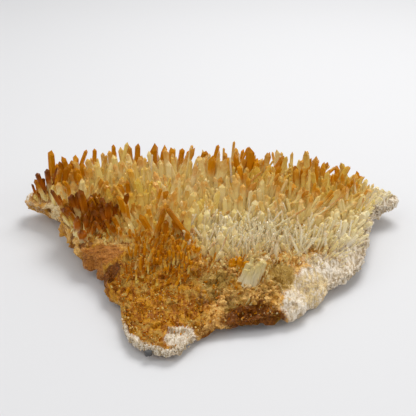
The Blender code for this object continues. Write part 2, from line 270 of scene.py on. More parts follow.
def closedGrid(rows, columns):
    # quads between rows that close on themselves, and fans to a point before the first row and after the last
    index = np.arange(rows * columns).reshape(rows, columns)
    right = np.roll(index, -1, axis=1)
    quads = np.stack([index[:-1], right[:-1], right[1:], index[1:]], axis=-1).reshape(-1, 4)
    first = np.full(columns, rows * columns)
    lowFan = np.column_stack([first, right[0], index[0]])
    highFan = np.column_stack([first + 1, index[-1], right[-1]])
    return [quads, lowFan, highFan]


def gridUv(mapAt, rows, columns):
    # closedGrid's corners in the map: mapAt takes a corner's row and column and the face's own row, and its
    # rows -1 and rows are the two points
    row, column = np.meshgrid(np.arange(rows - 1), np.arange(columns), indexing="ij")
    quadUv = np.stack([mapAt(row + j, column + i, row) for i, j in quadCorners], axis=2)
    left, right = np.arange(columns), np.arange(1, columns + 1)
    under, last = np.full(columns, -1), np.full(columns, rows - 1)
    lowCorners = ((under, right), (under + 1, right), (under + 1, left))
    highCorners = ((last + 1, right), (last, left), (last, right))
    lowUv = np.stack([mapAt(row, column, under) for row, column in lowCorners], axis=1)
    highUv = np.stack([mapAt(row, column, last) for row, column in highCorners], axis=1)
    return [quadUv, lowUv, highUv]


def addNode(tree, kind, inputs=None, **settings):
    node = tree.nodes.new(kind)
    for key, value in settings.items():
        setattr(node, key, value)
    for key, value in (inputs or {}).items():
        if isinstance(value, bpy.types.NodeSocket):
            tree.links.new(value, node.inputs[key])
        else:
            node.inputs[key].default_value = value
    return node


def mathNode(tree, operation, a, b=0.0, c=0.0, clamp=False):
    node = addNode(tree, "ShaderNodeMath", {0: a, 1: b, 2: c}, operation=operation, use_clamp=clamp)
    return node.outputs[0]


def eased(tree, value, low, high):
    # 0 at low and 1 at high, smooth between
    return addNode(tree, "ShaderNodeMapRange", {"Value": value, "From Min": low, "From Max": high},
                   interpolation_type="SMOOTHSTEP").outputs[0]


def between(tree, value, low, high):
    # low at 0 and high at 1
    return addNode(tree, "ShaderNodeMapRange", {"Value": value, "To Min": low, "To Max": high}).outputs[0]


def times(tree, a, b, clamp=False):
    return mathNode(tree, "MULTIPLY", a, b, clamp=clamp)


def mixed(tree, share, a, b, blend="MIX"):
    node = addNode(tree, "ShaderNodeMix", {0: share, 6: a, 7: b}, data_type="RGBA", blend_type=blend)
    return node.outputs[2]


def noiseNode(tree, vector, scale, detail=3.0, roughness=0.55):
    return addNode(tree, "ShaderNodeTexNoise",
                   {"Vector": vector, "Scale": scale, "Detail": detail, "Roughness": roughness}).outputs[0]


def attribute(tree, name):
    return addNode(tree, "ShaderNodeAttribute", attribute_name=name).outputs["Fac"]


def newGroup(name, inputs, outputs):
    tree = bpy.data.node_groups.new(name, "ShaderNodeTree")
    for socket, kind in inputs:
        tree.interface.new_socket(socket, in_out="INPUT", socket_type=kind)
    for socket, kind in outputs:
        tree.interface.new_socket(socket, in_out="OUTPUT", socket_type=kind)
    return tree, tree.nodes.new("NodeGroupInput"), tree.nodes.new("NodeGroupOutput")


def useGroup(tree, group, inputs):
    node = tree.nodes.new("ShaderNodeGroup")
    node.node_tree = group
    for key, value in inputs.items():
        tree.links.new(value, node.inputs[key])
    return node


def newMaterial(name):
    material = bpy.data.materials.new(name)
    material.use_nodes = True
    tree = material.node_tree
    shader = tree.nodes["Principled BSDF"]
    place = addNode(tree, "ShaderNodeTexCoord").outputs["Object"]
    inMm = addNode(tree, "ShaderNodeVectorMath", {0: place, "Scale": 1.0 / metresPerMm}, operation="SCALE")
    return material, tree, shader, inMm.outputs[0]


# How iron colours a crystal from its tip down.
stainLook = {
    "amber": (0.66, 0.275, 0.004, 1.0),
    "rust": (0.42, 0.11, 0.003, 1.0),
    "darkTip": (0.15, 0.036, 0.002, 1.0),
    "darkFrom": 0.55,  # the share of the way up where the dark tip starts
    "noiseScale": 0.45,
    "breakUp": 0.44,
    "fadeLength": 0.42,
    "fullCoat": 1.5,  # the coat is opaque from a stain of 1 over this number
}


def stainGroup():
    # level is how far a place is above the coat's lower limit, broken up by noise; the coat eases in over it
    tree, given, out = newGroup(
        "iron stain",
        [("Place", "NodeSocketVector"), ("Body", "NodeSocketColor"), ("Along", "NodeSocketFloat"),
         ("Stain", "NodeSocketFloat"), ("Brown", "NodeSocketFloat")],
        [("Colour", "NodeSocketColor")])
    take = given.outputs
    noise = mathNode(tree, "SUBTRACT", noiseNode(tree, take["Place"], stainLook["noiseScale"]), 0.5)
    reached = mathNode(tree, "ADD", take["Along"], take["Stain"])
    level = mathNode(tree, "MULTIPLY_ADD", noise, stainLook["breakUp"], reached)
    coat = times(tree, eased(tree, level, 1.0, 1.0 + stainLook["fadeLength"]),
                 times(tree, take["Stain"], stainLook["fullCoat"], clamp=True))
    coatColour = mixed(tree, take["Brown"], stainLook["amber"], stainLook["rust"])
    darkShare = times(tree, take["Brown"], eased(tree, take["Along"], stainLook["darkFrom"], 1.0))
    coatColour = mixed(tree, darkShare, coatColour, stainLook["darkTip"])
    tree.links.new(mixed(tree, coat, take["Body"], coatColour), out.inputs["Colour"])
    return tree


ironStain = stainGroup()

bodyLook = {
    "straw": (0.85, 0.73, 0.395, 1.0),
    "honey": (0.78, 0.585, 0.11, 1.0),
    "frost": (0.81, 0.75, 0.63, 1.0),
    "olive": (0.30, 0.19, 0.025, 1.0),
    "warmFoot": 0.55,
    "warmGain": 0.6,
    "frostReach": 1.3,  # all of the frost up to 0.3 of the way, then down to 0.3 of it at the tip
    "sheen": (1.0, 0.80, 0.50, 1.0),  # the tint of what the stained faces and the rock mirror
    "ior": 1.544,
    "glowRadius": (1.0, 1.0, 1.0),
    "glowDepth": 0.0005,
}


def setQuartz(shader, transmission, subsurface):
    shader.inputs["IOR"].default_value = bodyLook["ior"]
    shader.inputs["Transmission Weight"].default_value = transmission
    shader.inputs["Subsurface Weight"].default_value = subsurface
    shader.inputs["Subsurface Radius"].default_value = bodyLook["glowRadius"]
    shader.inputs["Subsurface Scale"].default_value = bodyLook["glowDepth"]


def setSheen(shader, level):
    shader.inputs["Specular IOR Level"].default_value = level
    shader.inputs["Specular Tint"].default_value = bodyLook["sheen"]


def setBump(tree, shader, height, look):
    bump = addNode(tree, "ShaderNodeBump",
                   {"Height": height, "Distance": look["bumpDepth"], "Strength": look["bump"]})
    tree.links.new(bump.outputs[0], shader.inputs["Normal"])


def bodyColour(tree, foot, tip):
    # from the foot's colour to the tip's as far as the crystal is warm, then its olive and its frosted foot
    along = attribute(tree, "along")
    warmHere = mathNode(tree, "MULTIPLY_ADD", along, bodyLook["warmGain"], bodyLook["warmFoot"])
    body = mixed(tree, times(tree, attribute(tree, "warm"), warmHere), foot, tip)
    body = mixed(tree, attribute(tree, "olive"), body, bodyLook["olive"])
    # on the single needles that are not warm, this frost is a painted glint rather than a frosted foot
    frostHere = mathNode(tree, "SUBTRACT", bodyLook["frostReach"], along)
    return mixed(tree, times(tree, attribute(tree, "frost"), frostHere, clamp=True), body, bodyLook["frost"])


def quartzMaterial(name, look):
    # the body's colour under its iron coat, and a polish broken up by noise
    material, tree, shader, place = newMaterial(name)
    given = {name: attribute(tree, name.lower()) for name in ("Along", "Stain", "Brown")}
    body = bodyColour(tree, look["foot"], look["tip"])
    stained = useGroup(tree, ironStain, {"Place": place, "Body": body, **given}).outputs["Colour"]
    tree.links.new(stained, shader.inputs["Base Color"])
    grain = noiseNode(tree, place, look["grainScale"])
    tree.links.new(between(tree, grain, *look["polish"]), shader.inputs["Roughness"])
    setQuartz(shader, look["transmission"], look["subsurface"])
    return material, tree, shader, stained, grain


stainedLook = {
    "foot": bodyLook["straw"],
    "tip": bodyLook["honey"],
    "grainScale": 1.4,
    "polish": (0.07, 0.3),
    "bump": 0.5,
    "bumpDepth": 0.0002,
    "transmission": 0.12,
    "subsurface": 0.6,
    "sheenLevel": 0.15,
    "innerLight": 0.035,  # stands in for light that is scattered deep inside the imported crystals
}


def stainedMaterial():
    material, tree, shader, stained, grain = quartzMaterial("iron stained quartz", stainedLook)
    setBump(tree, shader, grain, stainedLook)
    tree.links.new(stained, shader.inputs["Emission Color"])
    shader.inputs["Emission Strength"].default_value = stainedLook["innerLight"]
    setSheen(shader, stainedLook["sheenLevel"])
    return material


clearLook = {
    "foot": (0.94, 0.84, 0.60, 1.0),
    "tip": bodyLook["straw"],
    "grainScale": 1.2,
    "polish": (0.02, 0.14),
    "transmission": 0.22,
    "subsurface": 0.6,
    "gloss": 0.7,
    "absorption": (0.99, 0.95, 0.75, 1.0),
    "density": 20.0,
}


def clearMaterial():
    material, tree, shader, _, _ = quartzMaterial("clear quartz", clearLook)
    shader.inputs["Coat Weight"].default_value = clearLook["gloss"]
    absorption = addNode(tree, "ShaderNodeVolumeAbsorption",
                         {"Color": clearLook["absorption"], "Density": clearLook["density"]})
    tree.links.new(absorption.outputs[0], tree.nodes["Material Output"].inputs["Volume"])
    return material


rockLook = {
    "straw": (0.74, 0.48, 0.17, 1.0),
    "gold": (0.51, 0.24, 0.014, 1.0),
    "ochre": (0.30, 0.10, 0.005, 1.0),
    "dull": (0.45, 0.28, 0.06, 1.0),
    "frost": (0.75, 0.69, 0.60, 1.0),
    "frostShade": (0.47, 0.37, 0.235, 1.0),
    "speck": (0.26, 0.13, 0.04, 1.0),
    # iron is real iron stain, and also the colour of the painted shade along the lower front edge
    "iron": (0.14, 0.04, 0.004, 1.0),
    "pink": (0.44, 0.18, 0.035, 1.0),
    "pinkShade": (0.26, 0.09, 0.015, 1.0),
    "olive": (0.41, 0.26, 0.065, 1.0),
    "cream": (0.78, 0.64, 0.38, 1.0),
    "orange": (0.62, 0.28, 0.03, 1.0),
    "light": (1.08, 1.06, 1.02, 1.0),
    "shade": (0.62, 0.50, 0.36, 1.0),
    "zoneEdge": (0.25, 0.6),
    "edgeBreakUp": 0.8,
    "patchScale": 0.45,
    "fineScale": 0.9,
    "rustSpecks": 0.8,
    "speckNoise": (0.55, 2.0),  # scale and detail
    "speckRange": (0.6, 0.72),
    "shadeNoise": (1.1, 4.0, 0.7),  # scale, detail and roughness
    "shadeRange": (0.42, 0.66),
    "frostLessShade": 0.55,
    "bump": 0.7,
    "bumpDepth": 0.0006,
    "grainScale": 1.1,
    "grainBump": 0.6,
    "polish": (0.25, 0.6),
    "olivePolish": 0.7,
    "subsurface": 0.3,
    "sheenLevel": 0.2,
}
# How the noise is stretched: not at all, into upright pleats, or into streaks across the pink lump.
rockStretch = {"even": (1.0, 1.0, 1.0), "pleats": (1.0, 0.3, 0.3), "streaks": (0.2, 1.0, 0.6)}
# Second colours, in the order they are laid on: the look they belong to, the colour, its noise's stretch,
# scale, detail and roughness, the noise's values where the colour starts and is full, and how much of it.
rockTones = (
    ("base", "gold", "even", 0.12, 4.0, 0.55, 0.35, 0.65, 1.0),
    ("base", "ochre", "even", 0.2, 5.0, 0.65, 0.5, 0.62, 0.7),
    ("iron", "ochre", "even", 0.9, 3.0, 0.55, 0.5, 0.7, 1.0),
    ("ochre", "ochre", "pleats", 0.45, 3.0, 0.55, 0.42, 0.6, 1.0),
    ("ochre", "dull", "even", 0.1, 2.0, 0.55, 0.5, 0.6, 0.75),
    ("pink", "pinkShade", "streaks", 0.8, 3.0, 0.55, 0.45, 0.65, 1.0),
    ("frost", "frostShade", "pleats", 0.7, 4.0, 0.55, 0.42, 0.64, 1.0),
    ("frost", "speck", "even", 0.4, 5.0, 0.7, 0.63, 0.71, 1.0),
)


def rockMaterial():
    # zones are laid over one another, each with an edge broken up by coarse and fine noise
    material, tree, shader, place = newMaterial("quartz matrix")
    stretched = {}
    for name, factors in rockStretch.items():
        node = addNode(tree, "ShaderNodeVectorMath", {0: place, 1: factors}, operation="MULTIPLY")
        stretched[name] = node.outputs[0]
    looks = {zone: rockLook[zone] for zone in rockZones}
    looks["base"], looks["ochre"] = rockLook["straw"], rockLook["gold"]
    for look, over, stretch, scale, detail, roughness, start, full, amount in rockTones:
        noise = noiseNode(tree, stretched[stretch], scale, detail, roughness)
        share = times(tree, eased(tree, noise, start, full), amount)
        looks[look] = mixed(tree, share, looks[look], rockLook[over])
    patches = noiseNode(tree, stretched["pleats"], rockLook["patchScale"])
    fine = noiseNode(tree, place, rockLook["fineScale"])
    broken = mathNode(tree, "SUBTRACT", mathNode(tree, "ADD", fine, patches), 1.0)
    colour = looks["base"]
    for zone in rockZones:
        level = mathNode(tree, "MULTIPLY_ADD", broken, rockLook["edgeBreakUp"], attribute(tree, zone))
        colour = mixed(tree, eased(tree, level, *rockLook["zoneEdge"]), colour, looks[zone])
    specks = eased(tree, noiseNode(tree, place, *rockLook["speckNoise"]), *rockLook["speckRange"])
    specks = times(tree, specks, times(tree, attribute(tree, "ochre"), rockLook["rustSpecks"]))
    colour = mixed(tree, specks, colour, stainLook["rust"])
    shadeShare = eased(tree, noiseNode(tree, place, *rockLook["shadeNoise"]), *rockLook["shadeRange"])
    notFrosted = mathNode(tree, "MULTIPLY_ADD", attribute(tree, "frost"), -rockLook["frostLessShade"], 1.0)
    shade = mixed(tree, times(tree, shadeShare, notFrosted), rockLook["light"], rockLook["shade"])
    tree.links.new(mixed(tree, 1.0, colour, shade, "MULTIPLY"), shader.inputs["Base Color"])
    grain = addNode(tree, "ShaderNodeTexVoronoi",
                    {"Vector": stretched["pleats"], "Scale": rockLook["grainScale"]}, feature="F1")
    height = mathNode(tree, "MULTIPLY_ADD", grain.outputs["Distance"], rockLook["grainBump"], fine)
    setBump(tree, shader, height, rockLook)
    smoother = mathNode(tree, "MULTIPLY_ADD", attribute(tree, "olive"), -rockLook["olivePolish"], 1.0)
    roughness = times(tree, between(tree, fine, *rockLook["polish"]), smoother)
    tree.links.new(roughness, shader.inputs["Roughness"])
    setQuartz(shader, 0.0, rockLook["subsurface"])
    setSheen(shader, rockLook["sheenLevel"])
    return material


def darkGrainMaterial():
    material, tree, shader, place = newMaterial("dark grain")
    noise = noiseNode(tree, place, darkGrain["noiseScale"])
    colour = mixed(tree, noise, darkGrain["dark"], darkGrain["light"])
    tree.links.new(colour, shader.inputs["Base Color"])
    shader.inputs["Roughness"].default_value = darkGrain["polish"]
    return material


# The dark grey grain in the front tip's rim.
darkGrain = {
    "place": (-30, -93.6, 4.6),
    "radii": (2, 1.6, 1.7),
    "columns": 20,
    "rows": 12,
    "bumps": 0.28,
    "noiseScale": 0.8,
    "dark": (0.030, 0.032, 0.034, 1),
    "light": (0.11, 0.105, 0.10, 1),
    "polish": 0.55,
}

stainedQuartz = stainedMaterial()
clearQuartz = clearMaterial()
matrixRock = rockMaterial()
darkGrainRock = darkGrainMaterial()
print("materials made")

# How white the broken rim is, round the edge anticlockwise from the left tip.
rimWhite = {
    "turn": (0.0, 0.03, 0.07, 0.12, 0.21, 0.235, 0.285, 0.31, 0.34, 0.375, 0.39, 0.5, 0.6, 0.66, 0.8, 1.0),
    "share": (0.35, 0.35, 0.2, 0.1, 0.05, 1.0, 1.0, 0.2, 0.0, 0.1, 1.0, 1.0, 1.0, 0.8, 0.4, 0.6),
    "width": 0.05,
}


def rimFrost(x, y):
    turn, reach = plateShare(x, y)
    share = np.interp(turn % 1.0, rimWhite["turn"], rimWhite["share"])
    return share * ramp(reach, 1.0 - rimWhite["width"], 1.0)


rock = {
    "columns": 620,
    "underRows": 34,
    "wallRows": 11,
    "topRows": 113,
    "rimFineness": 1.25,  # above 1 the rows lie closer at the rim
    "coarseSize": 11,
    "coarseHeight": 1.1,
    "chunkSize": 5,
    "chunkHeight": 1.3,
    "glassChunks": 0.9,  # how much higher the chunks stand in the glassy patches
    "faceCalm": 0.6,
    "lumpCalm": 0.75,
    "sugarSize": 2.2,
    "sugarHeight": 0.42,
    "rimSize": 7,
    "rimRoughness": 2.6,
    "rimInset": 1.6,
    "rimWidth": 0.14,  # as a share of the way out, like the two below
    "spotEdge": 0.12,
    "stainTo": 0.7,
    "underStain": 0.9,  # how much of the top's colours goes on below the rim
    "ridgeSize": 2,
    "ridgeHeight": 1.6,
    "ridgeStretch": ((0.2, 0.2, 0), (0.1, 1, 0), (0, 0, 1)),  # long along x, close across it
    "pleatSize": 2.6,
    "pleatHeight": 0.65,
    "pleatStretch": (1, 0.15, 0.15),  # fine pleats down the broken face
    "lumpHeight": 2.2,
    "faceHeight": 4.5,
    "seed": 3,
}
# The plate's map is two discs side by side. The wall takes the rest of the radius round both surfaces.
plateMap = {"underX": 0.25, "topX": 0.75, "radius": 0.235, "surfaceShare": 0.9, "upright": 2}


def plateRows():
    # how far out and how far up the rim each row of the grid is, from the underside's middle to the top's
    underReach = 1.0 - (1.0 - np.arange(1, rock["underRows"] + 1) / rock["underRows"]) ** rock["rimFineness"]
    topReach = 1.0 - (np.arange(rock["topRows"]) / rock["topRows"]) ** rock["rimFineness"]
    wallUp = np.arange(1, rock["wallRows"]) / rock["wallRows"]
    reach = np.concatenate([underReach, np.ones(len(wallUp)), topReach])
    return reach, np.concatenate([np.zeros(len(underReach)), wallUp, np.ones(len(topReach))])


def outwardHeight(places, reach):
    # how far each place moves out: noise, chunks and sugar, then what the lump, broken face and rim add
    x, y = places[:, 0], places[:, 1]
    seed = rock["seed"]
    pink, face, glass = zoneShare("pink", x, y), zoneShare("face", x, y), zoneShare("glass", x, y)
    chunk = rock["chunkHeight"] * facets(places, rock["chunkSize"], seed + 20)
    sugar = rock["sugarHeight"] * facets(places, rock["sugarSize"], seed + 21)
    rough = rock["coarseHeight"] * fractalNoise(places, rock["coarseSize"], seed, 4)
    rough += (chunk * (1.0 - rock["faceCalm"] * face + rock["glassChunks"] * glass)
              + sugar * (1.0 - rock["faceCalm"] * face)) * (1.0 - rock["lumpCalm"] * pink)
    rough += rock["lumpHeight"] * pink + rock["faceHeight"] * zoneShare("facePeak", x, y)
    ridges = fractalNoise(places @ np.array(rock["ridgeStretch"]), rock["ridgeSize"], seed + 60, 2)
    rough += rock["ridgeHeight"] * pink * ridges
    pleats = fractalNoise(places * np.array(rock["pleatStretch"]), rock["pleatSize"], seed + 80, 2)
    rough += rock["pleatHeight"] * face * pleats
    nearRim = ramp(reach, 1.0 - rock["rimWidth"], 1.0)
    broken = rock["rimRoughness"] * fractalNoise(places, rock["rimSize"], seed + 40, 3)
    return rough + nearRim * (broken - rock["rimInset"])


def plateMesh():
    # a closed surface: turn round the edge by the way from the underside's middle over the rim to the top's
    reachRows, upRows = plateRows()
    columns, rows = rock["columns"], len(reachRows)
    turn, reach = np.meshgrid(np.arange(columns) / columns, reachRows)
    up = np.broadcast_to(upRows[:, None], turn.shape)
    under, top = underHeight(turn, reach), topHeight(turn, reach)
    grid = np.dstack([planPlace(turn, reach), under + (top - under) * up])
    tangent = np.roll(grid, -1, axis=1) - np.roll(grid, 1, axis=1)
    normal = np.cross(tangent, np.gradient(grid, axis=0)).reshape(-1, 3)
    normal /= np.linalg.norm(normal, axis=1, keepdims=True)
    places, reach, above = grid.reshape(-1, 3), reach.ravel(), up.ravel() > 0
    onSpot = ramp(reach, plateShape["flatSpotShare"], plateShape["flatSpotShare"] + rock["spotEdge"])
    places = places + normal * (outwardHeight(places, reach) * np.where(above, 1.0, onSpot))[:, None]
    places[:, 2] = np.maximum(places[:, 2], 0.0)
    centre = plateShape["centre"]
    places = np.concatenate([places, [[*centre, 0.0]], [[*centre, surfaceHeight(*centre + 0.01)]]])
    attributes = {}
    fromRim = ramp(reach, rock["stainTo"], 1.0)
    for zone in rockZones:
        share = zoneShare(zone, places[:, 0], places[:, 1])
        share[:-2] *= np.where(above, 1.0, rock["underStain"] * fromRim)
        share[-2] = 0.0
        attributes[zone] = share
    attributes["frost"] = np.maximum(attributes["frost"], rimFrost(places[:, 0], places[:, 1]))
    # the underside goes with the lower half of the wall, and the top with its upper half
    surface = plateMap["surfaceShare"]
    onWall = surface + 2.0 * (1.0 - surface) * np.minimum(upRows, 1.0 - upRows)
    radius = np.where((upRows > 0) & (upRows < 1), onWall, surface * reachRows) * plateMap["radius"]
    radius = np.concatenate([[0.0], radius, [0.0]])
    middle = np.where(upRows[:-1] >= 0.5, plateMap["topX"], plateMap["underX"])
    middle = np.concatenate([[plateMap["underX"]], middle, [plateMap["topX"]]])

    def mapAt(row, column, faceRow):
        angle = column / columns * math.tau
        across = middle[faceRow + 1] + radius[row + 1] * np.cos(angle)
        upwards = 0.5 + plateMap["upright"] * radius[row + 1] * np.sin(angle)
        return np.stack([across, upwards], axis=-1)

    uv = gridUv(mapAt, rows, columns)
    newMesh("quartzMatrix", places, closedGrid(rows, columns), uv, attributes, matrixRock)


def leanAxis(right, back):
    # upright plus the tangents of both leans, made one long
    axis = np.stack([np.tan(np.radians(right)), np.tan(np.radians(back)), np.ones(np.shape(right))], axis=-1)
    return axis / np.linalg.norm(axis, axis=-1, keepdims=True)


def standOn(x, y, axis, length, width, buried):
    # feet under the plate's surface by the buried length; length counts from the surface
    lump = rock["lumpHeight"] * zoneShare("pink", x, y)
    place = np.column_stack([x, y, surfaceHeight(x, y) + lump])
    buried = np.broadcast_to(buried, np.shape(x)).astype(float)
    return {"foot": place - axis * buried[:, None], "axis": axis, "length": length + buried, "width": width,
            "buried": buried, "exposure": np.ones(len(x))}


def chosen(crystals, keep):
    return {key: values[keep] for key, values in crystals.items()}


# Crystals that stand out, as in the solid: tip x, y, z, width, lean to the right, lean to the back.
standouts = np.array([
    (-104, 74, 44, 5.6, 0, 4), (-111, 58, 35, 3.6, -14, 0), (-112, 54, 32, 3.4, -20, -6),
    (-105, 60, 37, 4.0, -3, -4), (-95, 56, 39, 4.0, 15, -4), (-91, 58, 40, 3.8, 12, -6),
    (-97, 76, 39, 4.0, -18, 6), (-81, 80, 42, 3.4, 22, 8), (-76, 82, 42, 3.2, 3, 8),
    (-71, 82, 39, 3.2, -4, 8), (-63, 82, 45, 3.2, 2, 6),
    (-53, 84, 43, 4.0, -4, 10), (-47, 84, 45, 4.6, 3, 10), (-45, 66, 43, 4.0, -11, 2),
    (-36, 84, 45, 6.2, 0, 10), (-29, 86, 43, 5.4, 8, 12), (-24, 72, 47, 4.0, -3, 4),
    (-17, 80, 43, 4.2, 10, 10), (-9, 74, 46, 4.4, 27, 8), (-1, 80, 41, 4.6, 22, 10),
    (3, 62, 46, 6.4, 3, 4), (7, 74, 48, 3.0, 15, 6), (11, 56, 46, 6.8, 12, 2),
    (11, 78, 41, 4.2, -6, 10), (18, 78, 40, 3.8, -8, 12), (28, 76, 46, 7.2, 0, 6),
    (31, 42, 36, 4.4, 38, 0), (17, 40, 39, 5.0, -4, 2), (41, 76, 42, 4.4, 18, 10),
    (39, 58, 37, 5.0, 0, 4), (51, 76, 39, 5.4, 34, 10), (64, 72, 45, 4.6, -9, 4),
    (72, 74, 40, 5.0, 12, 8), (85, 70, 35, 3.8, -8, 8), (88, 72, 36, 4.0, -20, 6),
    (99, 72, 30, 3.8, -12, 10), (105, 68, 26, 4.0, 10, 14), (112, 62, 23, 3.6, 20, 10),
    (-56, 38, 37, 4.2, -22, 0), (-20, 40, 39, 4.2, 14, 0), (-25, 30, 36, 4.2, 28, -4),
    (-8, 14, 37, 4.6, -8, -6), (-31, 16, 34, 6.0, 30, -4), (-25, -4, 41, 3.6, 16, 6),
    (-24, -4, 41, 3.6, -34, 4), (-24, -9, 36, 3.4, 3, -4), (-13, -2, 36, 6.8, 0, -4),
    (-40, 0, 35, 3.8, -26, -2), (61, 36, 33, 5.0, 2, -2), (73, 20, 29, 3.4, 38, -6),
    (53, 14, 24, 3.4, 46, -6),
    (-89, 26, 31, 3.8, -10, -4), (-85, 28, 32, 4.0, -14, -2), (-80, 22, 32, 4.2, -8, -6),
    (-76, 28, 33, 3.8, 4, -2), (-72, 24, 36, 4.0, -22, -2), (-67, 25, 36, 4.0, 12, -2),
    (-65, 14, 35, 4.4, 4, -6), (-59, 22, 33, 3.8, 14, -2), (-55, 12, 36, 3.8, 5, -4),
    (-75, -2, 26, 7.0, -6, -12),
], float)

field = {
    "seed": 11,
    "spacing": 12,
    "jitter": 3.4,
    "xRange": (-124, 126),
    "yRange": (-44, 92),
    "reach": 0.92,
    "width": (3.2, 5.2),
    "length": 26,
    "hollow": (28, 4, 46, 30),  # centre x, centre y, spread x, spread y
    "hollowShortening": 0.5,
    "lengthShare": (0.7, 1),
    "lengthFactorX": (-120, -112, -100, -60, 40, 75, 90, 104, 118, 125),
    "lengthFactor": (0.15, 0.6, 0.85, 1, 1, 0.9, 0.72, 0.42, 0.22, 0.12),
    "shortest": 5,
    "shortShareAtLimit": 0.4,
    "leanSpreadSide": 11,
    "leanSpreadBack": 6.6,
    "sideSplay": 14,
    "backSplay": 14,
    "backSplayY": (40, 85),
    "frontSplay": 24,
    "buried": 5.5,
    "footSearchSteps": 12,
}


def lattice(rng, spacing, jitter, xRange, yRange):
    # rows of places with every second row shifted by half a spacing, then shaken
    rowSpacing = spacing * math.cos(math.pi / 6.0)
    x, y = np.meshgrid(np.arange(*xRange, spacing, dtype=float), np.arange(*yRange, rowSpacing))
    x[1::2] += 0.5 * spacing
    x = (x + rng.uniform(-jitter, jitter, x.shape)).ravel()
    y = (y + rng.uniform(-jitter, jitter, y.shape)).ravel()
    return x, y


def hollowFactor(x, y):
    # 1 less a Gaussian dip round the hollow's middle
    cx, cy, sx, sy = field["hollow"]
    return 1.0 - field["hollowShortening"] * np.exp(-(((x - cx) / sx) ** 2) - ((y - cy) / sy) ** 2)


def standoutCrystals():
    # each foot is found by following the axis down from the tip to the surface
    tip, width = standouts[:, :3], standouts[:, 3]
    axis = leanAxis(standouts[:, 4], standouts[:, 5])
    length = np.zeros(len(tip))
    for _ in range(field["footSearchSteps"]):
        place = tip - axis * length[:, None]
        length += (place[:, 2] - surfaceHeight(place[:, 0], place[:, 1])) * axis[:, 2]
    length += field["buried"]
    return {"foot": tip - axis * length[:, None], "axis": axis, "length": length, "width": width,
            "buried": np.full(len(tip), field["buried"]), "exposure": np.full(len(tip), 1.25), "site": tip}


def fieldCrystals():
    # the solid's seeded field, from the same random numbers in the same order, but narrower, and shorter in
    # the hollow
    rng = np.random.default_rng(field["seed"])
    x, y = lattice(rng, field["spacing"], field["jitter"], field["xRange"], field["yRange"])
    width = rng.uniform(*field["width"], x.size)
    tall = tallShare(x, y)
    length = field["length"] * rng.uniform(*field["lengthShare"], x.size)
    length *= np.interp(x, field["lengthFactorX"], field["lengthFactor"])
    length *= field["shortShareAtLimit"] + (1.0 - field["shortShareAtLimit"]) * tall
    length *= hollowFactor(x, y)
    right = field["sideSplay"] * x / field["xRange"][1] + rng.normal(0.0, field["leanSpreadSide"], x.size)
    back = field["backSplay"] * ramp(y, *field["backSplayY"]) - field["frontSplay"] * (1.0 - tall)
    back = back + rng.normal(0.0, field["leanSpreadBack"], x.size)
    reach = plateShare(x, y)[1]
    keep = (reach < field["reach"]) & (tall > 0.0) & (length > field["shortest"])
    crystals = standOn(x, y, leanAxis(right, back), length, width, field["buried"])
    return chosen(crystals, keep)


denseLimit = {
    "x": (-96, -64, -30, -5, 18, 32, 55, 75, 90, 104, 112),
    "y": (6, -2, -14, -26, -31, -18, -14, -12, 2, 30, 44),
}


def denseShare(x, y):
    # how far a place is in front of the dense field's limit, and its share of that field
    ahead = np.interp(x, denseLimit["x"], denseLimit["y"]) - y
    return ahead, smoothStep(-ahead / tallLimit["softness"])


# The slender crystals between those of the solid. They stand in sprays: each spray has its own lean, its
# crystals fan out from its middle, and those in its middle are the longest.
slender = {
    "seed": 41,
    "sprays": 130,
    "sprayY": (-90, 92),
    "sprayLean": 16,
    "fan": 2,  # degrees for each millimetre from the spray's middle
    "sprayWidth": 6.5,
    "edgeLength": 0.7,
    "leanSpread": 5,
    "strayShare": 0.12,
    "strayLean": 18,
    "yRange": (-92, 94),
    "rightSide": (-10, 50),  # from here to here along x, splay and slope come in
    "sideSplay": 20,
    "backTaller": 0.14,
    "tallerX": (-100, -70),
    "leastFactor": 0.34,
    "openFront": 0.7,
    "slopeX": (20, 40),
    "slopeWidth": 0.66,
    "slopeUpright": 0.7,
    "frontReach": (11, 18),  # how gently the length falls off before the tall field: left, added right
    "frontReachX": (5, 35),
    "frontLength": 0.42,
    "frontLeast": 0.07,
    "rimFrom": 0.8,
    "rimSplay": 34,
    "leanRight": (-28, 52),
    "leanBack": (-55, 26),
    "widthPower": 1.8,
    "fullWidthLength": 10,
    "leastLength": 2.6,
    "buried": 4.5,
}
tallOnes = {"spacing": 5.5, "jitter": 2.4, "width": (1.9, 4.8),
            "share": (0.75, 1.1), "reach": 0.955, "front": False}
middleOnes = {"spacing": 3.5, "jitter": 1.5, "width": (1.4, 3.1),
              "share": (0.36, 0.72), "reach": 0.965, "front": True}
shortOnes = {"spacing": 2.45, "jitter": 0.9, "width": (1.2, 2.5),
             "share": (0.2, 0.48), "reach": 0.975, "front": True}


def fromSpray(x, y):
    # for each place: the way from the nearest spray's middle, that spray's lean, and how near its middle is
    rng = np.random.default_rng(slender["seed"])
    count = slender["sprays"]
    middle = np.column_stack([rng.uniform(*field["xRange"], count), rng.uniform(*slender["sprayY"], count)])
    lean = rng.normal(0.0, slender["sprayLean"], (count, 2))
    offset = np.stack([x, y], axis=-1)[:, None, :] - middle
    distance = np.hypot(offset[..., 0], offset[..., 1])
    own, pick = np.argmin(distance, axis=1), np.arange(x.size)
    return offset[pick, own], lean[own], np.exp(-(distance[pick, own] / slender["sprayWidth"]) ** 2)


